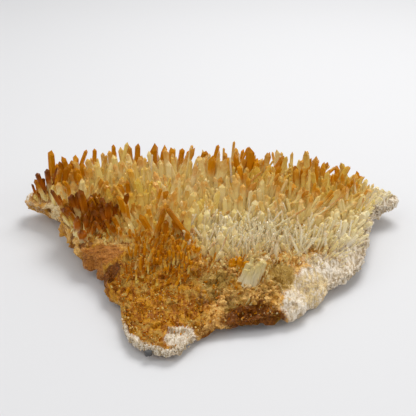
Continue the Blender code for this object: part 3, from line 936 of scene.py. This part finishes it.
def slenderGrowth(x, y, ahead, tall):
    # how long crystals can grow here: up to the tall field's full length, and falling off in front of it
    reachLeft, reachRight = slender["frontReach"]
    fallOff = reachLeft + reachRight * ramp(x, *slender["frontReachX"])
    front, least = slender["frontLength"], slender["frontLeast"]
    growth = np.where(ahead > 0.0, front * np.exp(-np.maximum(ahead, 0.0) / fallOff) + least,
                      front + least + (1.0 - front - least) * tall)
    growth *= np.maximum(np.interp(x, field["lengthFactorX"], field["lengthFactor"]), slender["leastFactor"])
    atBack = ramp(y, *field["backSplayY"]) * ramp(-np.abs(x), *slender["tallerX"])
    growth *= (1.0 + slender["backTaller"] * atBack) * (1.0 - slender["openFront"] * zoneShare("open", x, y))
    return field["length"] * growth * hollowFactor(x, y)


def slenderCrystals(size, seed):
    # length is growth by a random share; the lean is the spray's, plus its fan, a random part and the splay
    rng = np.random.default_rng(seed)
    x, y = lattice(rng, size["spacing"], size["jitter"], field["xRange"], slender["yRange"])
    reach = plateShare(x, y)[1]
    inside = reach < size["reach"]
    x, y, reach = x[inside], y[inside], reach[inside]
    ahead, tall = denseShare(x, y)
    thin, wide = size["width"]
    width = thin + (wide - thin) * rng.random(x.size) ** slender["widthPower"]
    offset, sprayLean, inSpray = fromSpray(x, y)
    share = rng.uniform(*size["share"], x.size)
    share *= slender["edgeLength"] + (1.0 - slender["edgeLength"]) * inSpray
    length = slenderGrowth(x, y, ahead, tall) * share
    stray = rng.random(x.size) < slender["strayShare"]
    spread = np.where(stray, slender["strayLean"], slender["leanSpread"])[:, None]
    lean = sprayLean + slender["fan"] * offset + spread * rng.normal(0.0, 1.0, offset.shape)
    rightSide = ramp(x, *slender["rightSide"])
    onSlope = smoothStep(ahead / 8.0) * ramp(x, *slender["slopeX"])
    lean *= (1.0 - slender["slopeUpright"] * onSlope)[:, None]
    outward = np.stack([x, y], axis=-1) - plateShape["centre"]
    outward /= np.linalg.norm(outward, axis=1, keepdims=True)
    outward *= (slender["rimSplay"] * ramp(reach, slender["rimFrom"], 1.0) * (0.3 + 0.7 * rightSide))[:, None]
    right = lean[:, 0] + slender["sideSplay"] * rightSide * x / field["xRange"][1] + outward[:, 0]
    back = (0.7 * lean[:, 1] + field["backSplay"] * ramp(y, *field["backSplayY"]) + outward[:, 1]
            - field["frontSplay"] * (1.0 - tall) * (0.35 + 0.65 * rightSide))
    width *= 0.5 + 0.5 * np.minimum(length / slender["fullWidthLength"], 1.0)
    width *= 1.0 - (1.0 - slender["slopeWidth"]) * onSlope
    axis = leanAxis(np.clip(right, *slender["leanRight"]), np.clip(back, *slender["leanBack"]))
    crystals = standOn(x, y, axis, np.maximum(length, 1.2), width, slender["buried"])
    crystals["exposure"] = np.clip(1.15 * share, 0.0, 1.1)
    keep = length > slender["leastLength"]
    keep &= rng.random(x.size) > np.maximum(0.6 * zoneShare("clear", x, y), zoneShare("glass", x, y))
    keep &= rng.random(x.size) > np.maximum(zoneShare("bare", x, y), zoneShare("face", x, y))
    if not size["front"]:
        keep &= tall > 0.0
    return chosen(crystals, keep)


# Thin clear needles in the hollow.
needles = {
    "seed": 57,
    "spacing": 2.9,
    "jitter": 1.1,
    "xRange": (-40, 100),
    "yRange": (-40, 60),
    "crowding": 1.2,
    "width": (0.8, 1.9),
    "length": (7, 17),
    "lean": (8, -4),  # to the right and to the back, as in the sets below
    "leanSpread": 20,
    "leanLimit": 65,
    "buried": 3,
}


def needleCrystals():
    # a shaken lattice, kept as often as the place is clear, with normally spread leans
    rng = np.random.default_rng(needles["seed"])
    x, y = lattice(rng, needles["spacing"], needles["jitter"], needles["xRange"], needles["yRange"])
    clear = zoneShare("clear", x, y)
    width = rng.uniform(*needles["width"], x.size)
    length = rng.uniform(*needles["length"], x.size)
    right, back = (rng.normal(lean, needles["leanSpread"], x.size) for lean in needles["lean"])
    keep = rng.random(x.size) < needles["crowding"] * clear
    keep &= np.maximum(zoneShare("glass", x, y), zoneShare("face", x, y)) < 0.3
    axis = leanAxis(*np.clip([right, back], -needles["leanLimit"], needles["leanLimit"]))
    return chosen(standOn(x, y, axis, length, width, needles["buried"]), keep)


# Single needles that catch the light or lie across their neighbours: tip x, y, z, length, width, lean right
# and back, warm. Those that are not warm get a near-white frosted body that is a painted glint.
singleNeedles = np.array([
    (9, -14, 33, 15, 1.2, 17, -4, 0), (12.5, -13, 33, 15, 1.1, 18, -4, 0),
    (20, -20, 32, 13, 1.3, 21, -6, 0), (23, -21, 31, 12, 1.1, 22, -6, 0),
    (4, -10, 31, 9, 1.1, 20, 0, 0), (-7, 4, 33, 8, 1.1, 24, 0, 0),
    (-10, -22, 30, 8, 1.2, 12, -8, 0), (81, 17, 38, 24, 1.2, 46, -4, 1),
    (58, 5, 36, 22, 1.2, 55, -2, 1), (34, 48, 40, 24, 1.6, 46, 0, 1),
    (78, -2, 32, 15, 1.1, 0, -4, 0), (14, 58, 46, 18, 1.4, -4, 2, 0),
    (-36, 62, 46, 16, 1.3, 6, 2, 0), (92, 44, 38, 14, 1.4, -10, 2, 1),
    (96, 26, 33, 12, 1.3, 8, -4, 1), (44, 8, 33, 15, 1.2, 34, -6, 0),
], float)


def singleNeedleCrystals():
    # each foot is the tip less the axis times the length
    length, width, right, back, warm = singleNeedles[:, 3:].T
    axis = leanAxis(right, back)
    # the frost of the needles that are not warm paints a glint along them
    return {"foot": singleNeedles[:, :3] - axis * length[:, None], "axis": axis, "length": length,
            "width": width, "buried": np.zeros(len(length)), "exposure": np.full(len(length), 0.4),
            "warm": warm, "stain": 0.6 * warm, "frost": 0.9 - 0.9 * warm}


# Fine grains and points on the front-left slope.
druse = {
    "seed": 71,
    "spacing": 1.2,
    "jitter": 0.55,
    "xRange": (-70, 50),
    "yRange": (-96, 0),
    "crowding": 0.42,
    "width": (0.5, 1.2),
    "length": (0.2, 1.7),
    "spreadFrom": (-18, 6),  # the crystals lie down the slope, away from here
    "lean": (5, 60),
    "stain": (0.7, 1.4),
    "brown": (0.1, 1),
    "turnSpread": 0.9,
    "buried": 1,
}


def druseCrystals():
    # a shaken lattice on the slope, each crystal leaning away from one point by a random angle
    rng = np.random.default_rng(druse["seed"])
    x, y = lattice(rng, druse["spacing"], druse["jitter"], druse["xRange"], druse["yRange"])
    away = np.arctan2(y - druse["spreadFrom"][1], x - druse["spreadFrom"][0])
    away = away + rng.normal(0.0, druse["turnSpread"], x.size)
    lean = np.radians(rng.uniform(*druse["lean"], x.size))
    axis = np.stack([np.sin(lean) * np.cos(away), np.sin(lean) * np.sin(away), np.cos(lean)], axis=-1)
    width = rng.uniform(*druse["width"], x.size)
    length = rng.uniform(*druse["length"], x.size)
    bare = np.maximum(zoneShare("bare", x, y), 0.8 * zoneShare("frost", x, y))
    keep = (plateShare(x, y)[1] < 0.975) & (tallShare(x, y) < 0.6) & (rng.random(x.size) > bare)
    crowding = druse["crowding"] * np.maximum(zoneShare("ochre", x, y), 0.5 * zoneShare("iron", x, y))
    keep &= rng.random(x.size) < crowding
    crystals = standOn(x, y, axis, length, width, druse["buried"])
    crystals["stain"] = rng.uniform(*druse["stain"], x.size)
    crystals["brown"] = rng.uniform(*druse["brown"], x.size)
    return chosen(crystals, keep)


# Slim upright crystals on the upper part of that slope.
slimOnes = {
    "seed": 83,
    "count": 300,
    "middle": (-26, -24),
    "spread": (17, 13),
    "leanSpread": 11,
    "lean": (6, -6),
    "width": (0.9, 2),
    "length": (3.5, 11),
    "buried": 3,
}


def scattered(rng, look):
    # normally spread places round a middle
    count = look["count"]
    return (rng.normal(middle, spread, count) for middle, spread in zip(look["middle"], look["spread"]))


def slimCrystals():
    # scattered places in front of the dense field, shorter towards the front
    rng = np.random.default_rng(slimOnes["seed"])
    count = slimOnes["count"]
    x, y = scattered(rng, slimOnes)
    right, back = (rng.normal(lean, slimOnes["leanSpread"], count) for lean in slimOnes["lean"])
    width = rng.uniform(*slimOnes["width"], count)
    length = rng.uniform(*slimOnes["length"], count) * (1.0 - 0.6 * ramp(-y, 24.0, 64.0))
    keep = (plateShare(x, y)[1] < 0.93) & (denseShare(x, y)[1] < 0.6) & (zoneShare("bare", x, y) < 0.3)
    return chosen(standOn(x, y, leanAxis(right, back), length, width, slimOnes["buried"]), keep)


# The cream slab and the clumps beside it, then lower blocks that belong to the rock: foot x, y, width,
# length, lean right, back, how tangled, frost, warm, stain, olive.
clumpRows = np.array([
    (22.5, -41, 8.5, 12.5, 24, 24, 0, 0.35, 0.5, 0.2, 0.4), (15, -32, 5.5, 8, 6, 4, 0.1, 0, 1, 0.8, 0.1),
    (19.5, -33, 5, 7, 22, -4, 0.1, 0, 1, 0.8, 0.1), (-9, -25, 5, 7, -6, 0, 0.1, 0, 1, 0.7, 0.1),
])
blockRows = np.array([
    (-3, -56, 7, 4, -6, 0, 0.5), (12, -53, 6, 4, 10, 0, 0.5), (33, -50, 7, 4.5, 18, 0, 0.5),
    (32, -30, 8, 7, 16, 8, 0.3), (11, -40, 8.5, 6, 14, 4, 0.5), (28, -56, 9, 4, 16, -6, 0.6),
    (-6, -38, 7, 7, -6, -8, 0.4),
])
bundles = {
    "columns": 26,
    "columnWidth": (0.12, 0.36),
    "lengthShare": (0.3, 1),
    "leanSpread": 34,
    "buried": 3,
}


def bundled(rows, seed):
    # each row is a bundle of nearly parallel columns round its middle, broad ones where it isn't tangled
    rng = np.random.default_rng(seed)
    x, y, width, length, right, back, tangled = np.repeat(rows[:, :7], bundles["columns"], axis=0).T
    away, turn = 0.5 * width * np.sqrt(rng.random(x.size)), rng.uniform(0.0, math.tau, x.size)
    spread = bundles["leanSpread"] * (0.1 + tangled)
    right, back = right + spread * rng.normal(0.0, 1.0, x.size), back + spread * rng.normal(0.0, 1.0, x.size)
    width = width * rng.uniform(*bundles["columnWidth"], x.size) * (2.2 - 1.2 * tangled)
    return standOn(x + away * np.cos(turn), y + 0.7 * away * np.sin(turn), leanAxis(right, back),
                   length * rng.uniform(*bundles["lengthShare"], x.size), width, bundles["buried"])


def clumpCrystals():
    # the bundles of clumpRows, each column with its row's colours
    frost, warm, stain, olive = np.repeat(clumpRows[:, 7:], bundles["columns"], axis=0).T
    return {**bundled(clumpRows, 96), "frost": frost, "warm": warm, "stain": stain, "olive": olive}


# Small broken pieces among the blocks.
chips = {
    "seed": 97,
    "count": 220,
    "middle": (24, -46),
    "spread": (24, 15),
    "width": (1.4, 4.2),
    "length": (0.4, 3.2),
    "leastX": -14,
    "lean": 8,
    "leanSpread": 28,
    "leanLimit": 62,
    "mostBack": 40,
    "buried": 2.5,
}


def chipCrystals():
    # scattered places right of a limit and outside the iron, the glass and the face, with spread leans
    rng = np.random.default_rng(chips["seed"])
    count = chips["count"]
    x, y = scattered(rng, chips)
    limit = chips["leanLimit"]
    right, back = rng.normal(0.0, chips["leanSpread"], (2, count)).clip(-limit, limit)
    width, length = rng.uniform(*chips["width"], count), rng.uniform(*chips["length"], count)
    keep = (plateShare(x, y)[1] < 0.95) & (tallShare(x, y) < 0.5) & (x > chips["leastX"])
    keep &= (zoneShare("iron", x, y) < 0.2) & (zoneShare("face", x, y) < 0.5)
    keep &= zoneShare("glass", x, y) < rng.random(count)
    axis = leanAxis(right + chips["lean"], np.minimum(back, chips["mostBack"]))
    return chosen(standOn(x, y, axis, length, width, chips["buried"]), keep)


# Sugary grains on the broken rim.
grains = {
    "seed": 103,
    "count": 4200,
    "width": (0.5, 1.3),
    "length": (0.1, 0.7),
    "spread": 0.7,
    "buried": 0.9,
}


def rimGrains():
    # round the edge and up the wall at random, pointing outwards and up
    rng = np.random.default_rng(grains["seed"])
    count = grains["count"]
    turn, up = rng.random(count), rng.uniform(0.15, 1.0, count)
    white = np.interp(turn, rimWhite["turn"], rimWhite["share"]) > rng.uniform(0.2, 0.8, count)
    edge = aroundEdge(turn)
    step = aroundEdge(turn + 0.002) - aroundEdge(turn - 0.002)
    outward = np.column_stack([step[:, 1], -step[:, 0], np.zeros(count)])
    outward /= np.linalg.norm(outward, axis=1, keepdims=True)
    place = np.column_stack([edge[:, :2], edge[:, 2] + edge[:, 3] * up]) - 0.3 * outward
    axis = outward + np.array([0.0, 0.0, 1.0]) * (up - 0.3)[:, None]
    axis += rng.normal(0.0, grains["spread"], (count, 3))
    axis /= np.linalg.norm(axis, axis=1, keepdims=True)
    width, length = rng.uniform(*grains["width"], count), rng.uniform(*grains["length"], count)
    buried = np.full(count, grains["buried"])
    made = {"foot": place - axis * buried[:, None], "axis": axis, "length": length + buried, "width": width,
            "buried": buried, "exposure": np.ones(count)}
    return chosen(made, white)


def colourBy(crystals, seed):
    # the zones that a foot (or the site given) is in set how warm the body is, how strong and brown its
    # coat, and its frost and olive; what the crystals bring along themselves stays
    rng = np.random.default_rng(seed)
    x, y = crystals.get("site", crystals["foot"])[:, :2].T
    count = len(x)
    names = ("darkIron", "amber", "rust", "ochre", "clear", "iron", "orange", "gold", "olive")
    dark, amber, rust, ochre, clear, iron, orange, gold, olive = (zoneShare(name, x, y) for name in names)
    frost = np.maximum(zoneShare("frost", x, y), rimFrost(x, y))
    exposed = crystals["exposure"]
    shown = np.max([0.8 * dark, 0.7 * rust, 0.8 * ochre], axis=0)
    exposed = exposed + np.maximum(1.0 - exposed, 0.0) * shown
    # iron includes the painted shade patch along the lower front edge, so crystals there also get a darker
    # coat from it
    stain = 0.45 + 0.9 * dark + 0.38 * amber + 0.3 * rust + 0.7 * ochre + 1.3 * iron + 0.4 * orange
    stain = np.clip(stain, 0.0, 0.95) * (1.0 - 0.65 * clear) * (1.0 - 0.8 * frost)
    stain *= 0.5 + 0.7 * rng.random(count) ** (1.0 - 0.8 * dark)
    brown = 1.1 * dark * exposed + 1.1 * iron + 0.5 * np.maximum(exposed - 1.1, 0.0)
    brown += 0.5 * rust * rng.random(count) + 0.9 * ochre * rng.random(count) ** 2
    brown += 0.45 * amber * rng.random(count) ** 2 + 0.12 * rng.random(count) ** 3
    warm = 0.2 + 0.6 * gold + 0.8 * ochre + 0.4 * rust + 0.3 * amber + 0.6 * dark
    warm += rng.normal(0.0, 0.16, count)
    made = {"stain": stain * exposed, "brown": brown, "warm": warm * (1.0 - 0.8 * clear),
            "frost": frost + rng.normal(0.0, 0.12, count), "olive": olive * rng.uniform(0.5, 1.0, count)}
    made = {key: crystals.get(key, np.clip(values, 0.0, 1.0)) for key, values in made.items()}
    return {**crystals, **made}


def rockBy(crystals, seed):
    # the rock's own zones, for broken pieces that are part of it
    x, y = crystals["foot"][:, :2].T
    shades = np.random.default_rng(seed).normal(0.0, 0.15, len(x))
    return {**crystals, **{zone: np.clip(zoneShare(zone, x, y) + shades, 0.0, 1.0) for zone in rockZones}}


def prismPlaces(crystals, rings, look, rng):
    # rings of six corners where flat sides at random distances meet, drawn up from a foot at zero to an
    # off-centre tip
    count = len(crystals["length"])
    radius = crystals["width"] / 2
    sideAngle = np.arange(6) * math.pi / 3.0
    sideNormal = np.stack([np.cos(sideAngle), np.sin(sideAngle)], axis=-1)
    distance = rng.uniform(*look["sides"], (count, 6)) * radius[:, None]
    nextDistance = np.roll(distance, -1, axis=1)
    # neighbouring normals are 60 degrees apart: cosine 1/2, sine squared 3/4
    a, b = (distance - 0.5 * nextDistance) / 0.75, (nextDistance - 0.5 * distance) / 0.75
    corners = a[..., None] * sideNormal + b[..., None] * np.roll(sideNormal, -1, axis=0)
    corners[..., 1] *= rng.uniform(*look["flatness"], count)[:, None]
    tipHeight = np.minimum(radius * rng.uniform(*look["tip"], count), look["tipLimit"] * crystals["length"])
    tipHeight *= 1.0 - look["frostBlunts"] * crystals["frost"]
    narrowing = 1.0 - (1.0 - look["shoulder"]) * rings + rng.normal(0.0, look["wobble"], (count, len(rings)))
    ringXy = corners[:, None, :, :] * narrowing[:, :, None, None]
    height = rings * (crystals["length"] - tipHeight)[:, None]
    ringZ = np.repeat(height[:, :, None], 6, axis=2)
    ringZ[:, -1] += rng.uniform(*look["slant"], (count, 6)) * tipHeight[:, None]
    tip = np.column_stack([rng.uniform(-0.3, 0.3, (count, 2)) * radius[:, None], crystals["length"]])
    ringPlaces = np.concatenate([ringXy, ringZ[..., None]], axis=-1).reshape(count, -1, 3)
    return np.concatenate([ringPlaces, tip[:, None, :]], axis=1)


def prismBasis(axis, rng):
    # z along the axis, x and y turned about it by a random spin
    xAxis = np.cross([0.0, 1.0, 0.0], axis)
    xAxis /= np.linalg.norm(xAxis, axis=1, keepdims=True)
    yAxis = np.cross(axis, xAxis)
    spin = rng.uniform(0.0, math.pi / 3.0, len(axis))[:, None]
    xTurned = xAxis * np.cos(spin) + yAxis * np.sin(spin)
    yTurned = yAxis * np.cos(spin) - xAxis * np.sin(spin)
    return np.stack([xTurned, yTurned, axis], axis=1)


def prismFaces(count, rings):
    # the sides ring by ring, six tip faces and a six-sided foot for each crystal
    each = 6 * rings + 1
    first = np.arange(count)[:, None, None] * each
    ring, side = np.arange(rings - 1)[None, :, None] * 6, np.arange(6)
    nextSide = (side + 1) % 6
    lower = first + ring
    quads = np.stack([lower + side, lower + nextSide, lower + 6 + nextSide, lower + 6 + side], axis=-1)
    shoulder = first[:, 0] + each - 7
    tip = np.repeat(first[:, 0] + each - 1, 6, axis=1)
    tips = np.stack([shoulder + side, shoulder + nextSide, tip], axis=-1)
    return [quads.reshape(-1, 4), tips.reshape(-1, 3), first[:, 0] + side[::-1]]


def prismUv(count, rings):
    # each crystal has its own square of the map: its sides in a row, its tip above them and its foot below
    across = math.ceil(math.sqrt(count))
    cell = np.column_stack([np.arange(count) % across, np.arange(count) // across]) / across
    u, v = np.arange(7) / 6.0, 0.1 + 0.75 * rings
    ring, side = np.meshgrid(np.arange(len(rings) - 1), np.arange(6), indexing="ij")
    quadUv = np.stack([np.stack([u[side + i], v[ring + j]], axis=-1) for i, j in quadCorners], axis=2)
    left, right = u[:-1], u[1:]
    tipUv = np.stack([np.stack([left, right, 0.5 * (left + right)], axis=-1),
                      np.broadcast_to([v[-1], v[-1], 1.0], (6, 3))], axis=-1)
    angle = np.arange(5, -1, -1) * math.pi / 3.0
    footUv = np.column_stack([0.5 + 0.4 * np.cos(angle), 0.045 + 0.04 * np.sin(angle)])
    inCell = 0.92 / across
    return [cell.reshape(count, *[1] * (uv.ndim - 1), 2) + uv * inCell for uv in (quadUv, tipUv, footUv)]


def crystalPiece(name, crystals, rings, look, material, seed):
    rng, rings = np.random.default_rng(seed), np.array(rings)
    local = prismPlaces(crystals, rings, look, rng)
    places = crystals["foot"][:, None, :] + local @ prismBasis(crystals["axis"], rng)
    count, each = local.shape[:2]
    buried = crystals["buried"][:, None]
    along = (local[:, :, 2] - buried) / (crystals["length"][:, None] - buried)
    attributes = {"along": np.clip(along, 0.0, 1.0).ravel()}
    for key in crystals.keys() - {"foot", "axis", "length", "width", "buried", "exposure", "site"}:
        attributes[key] = np.repeat(crystals[key], each)
    faces, uv = prismFaces(count, len(rings)), prismUv(count, rings)
    newMesh(name, places.reshape(-1, 3), faces, uv, attributes, material)


def darkGrainMesh():
    # an ellipsoid by longitude and latitude, moved in and out by noise, with one point at each pole
    columns, rows = darkGrain["columns"], darkGrain["rows"] - 1
    latitude = (np.arange(1, rows + 1) / (rows + 1) - 0.5) * math.pi
    a, b = np.meshgrid(np.arange(columns) / columns * math.tau, latitude)
    ball = np.stack([np.cos(b) * np.cos(a), np.cos(b) * np.sin(a), np.sin(b)], axis=-1).reshape(-1, 3)
    ball = np.concatenate([ball, [[0.0, 0.0, -1.0], [0.0, 0.0, 1.0]]])
    places = ball * (1.0 + darkGrain["bumps"] * fractalNoise(ball * 3.0 + 20.0, 2.0, 5, 2))[:, None]
    places = places * np.array(darkGrain["radii"]) + np.array(darkGrain["place"])

    def mapAt(row, column, _):
        return np.stack([column / columns, (row + 1) / (rows + 1)], axis=-1)

    uv = gridUv(mapAt, rows, columns)
    mesh = newMesh("darkGrain", places, closedGrid(rows, columns), uv, {}, darkGrainRock)
    mesh.shade_smooth()


prismLook = {
    "sides": (0.78, 1.06),
    "flatness": (0.72, 1),
    "shoulder": 0.88,
    "wobble": 0.03,
    "tip": (0.8, 1.5),
    "tipLimit": 0.45,
    "frostBlunts": 0.7,
    "slant": (-0.45, 0.3),
}
blockLook = {**prismLook, "shoulder": 0.85, "wobble": 0.08, "tip": (0.3, 0.9)}
longRings, middleRings, shortRings = (0, 0.35, 0.7, 1), (0, 0.5, 1), (0, 1)

# The pieces made of crystals or grains: name, crystals, what colours them, rings, look, material, seed. The
# colours take the seed, and the shapes one that is 100 higher.
crystalRows = (
    ("standoutCrystals", standoutCrystals(), colourBy, longRings, prismLook, stainedQuartz, 100),
    ("fieldCrystals", fieldCrystals(), colourBy, longRings, prismLook, stainedQuartz, 101),
    ("tallCrystals", slenderCrystals(tallOnes, 42), colourBy, longRings, prismLook, stainedQuartz, 102),
    ("middleCrystals", slenderCrystals(middleOnes, 43), colourBy, middleRings, prismLook, stainedQuartz, 103),
    ("shortCrystals", slenderCrystals(shortOnes, 44), colourBy, shortRings, prismLook, stainedQuartz, 104),
    ("clearNeedles", needleCrystals(), colourBy, middleRings, prismLook, clearQuartz, 105),
    ("singleNeedles", singleNeedleCrystals(), colourBy, middleRings, prismLook, clearQuartz, 106),
    ("slopeDruse", druseCrystals(), colourBy, shortRings, prismLook, stainedQuartz, 107),
    ("slimCrystals", slimCrystals(), colourBy, shortRings, prismLook, stainedQuartz, 112),
    ("frontClumps", clumpCrystals(), colourBy, middleRings, blockLook, stainedQuartz, 113),
    ("frontBlocks", bundled(blockRows, 95), rockBy, middleRings, blockLook, matrixRock, 108),
    ("frontChips", chipCrystals(), rockBy, shortRings, blockLook, matrixRock, 109),
    ("rimGrains", rimGrains(), colourBy, shortRings, prismLook, matrixRock, 110),
)
plateMesh()
for name, crystals, coloured, rings, look, material, seed in crystalRows:
    crystalPiece(name, coloured(crystals, seed), rings, look, material, seed + 100)
darkGrainMesh()

stageLook = {
    "floorColour": (0.655, 0.655, 0.665, 1.0),
    "floorRoughness": 0.7,
    "floorSize": 8.0,
    "skyStrength": 0.585,
    # name, place, size across and along, watts
    "lamps": (
        ("soft box", (0.25, 0.55, 0.95), 0.55, 0.55, 8.0),
        ("right strip", (0.7, -0.3, 0.5), 0.05, 0.4, 0.9),
        ("left strip", (-0.65, -0.25, 0.5), 0.05, 0.4, 0.6),
        ("front strip", (0.1, -0.8, 0.5), 0.5, 0.04, 0.5),
        ("high strip", (-0.3, -0.35, 0.9), 0.04, 0.5, 0.6),
    ),
}


def makeStage():
    half = stageLook["floorSize"] / 2
    mesh = bpy.data.meshes.new("floor")
    corners = [(-half, -half, 0), (half, -half, 0), (half, half, 0), (-half, half, 0)]
    mesh.from_pydata(corners, [], [(0, 1, 2, 3)])
    floor = bpy.data.objects.new("floor", mesh)
    bpy.context.scene.collection.objects.link(floor)
    material = bpy.data.materials.new("pale floor")
    material.use_nodes = True
    shader = material.node_tree.nodes["Principled BSDF"]
    shader.inputs["Base Color"].default_value = stageLook["floorColour"]
    shader.inputs["Roughness"].default_value = stageLook["floorRoughness"]
    mesh.materials.append(material)
    world = bpy.data.worlds.new("studio")
    bpy.context.scene.world = world
    world.use_nodes = True
    world.node_tree.nodes["Background"].inputs["Color"].default_value = (1.0, 1.0, 1.0, 1.0)
    world.node_tree.nodes["Background"].inputs["Strength"].default_value = stageLook["skyStrength"]
    for name, place, across, along, watts in stageLook["lamps"]:
        lamp = bpy.data.lights.new(name, "AREA")
        lamp.shape, lamp.size, lamp.size_y, lamp.energy = "RECTANGLE", across, along, watts
        lampObject = bpy.data.objects.new(name, lamp)
        bpy.context.scene.collection.objects.link(lampObject)
        lampObject.location = place
        lampObject.rotation_euler = Vector(place).to_track_quat("Z", "Y").to_euler()


# The camera looks along +Y and down, from the height that the outline in the picture asks for.
cameraView = {"place": (-0.0022, -0.4333, 0.260), "down": 27, "focalPixels": 834, "imagePixels": 416,
              "sensor": 36}


def makeCamera():
    camera = bpy.data.cameras.new("camera")
    camera.sensor_width = cameraView["sensor"]
    camera.lens = cameraView["sensor"] * cameraView["focalPixels"] / cameraView["imagePixels"]
    cameraObject = bpy.data.objects.new("camera", camera)
    cameraObject.location = cameraView["place"]
    cameraObject.rotation_euler = (math.radians(90.0 - cameraView["down"]), 0.0, 0.0)
    bpy.context.scene.collection.objects.link(cameraObject)
    bpy.context.scene.camera = cameraObject


makeStage()
makeCamera()
bpy.context.scene.view_settings.view_transform = "Standard"
bpy.context.scene.cycles.max_bounces = 24
bpy.context.scene.cycles.diffuse_bounces = 16
print("stage and camera made")
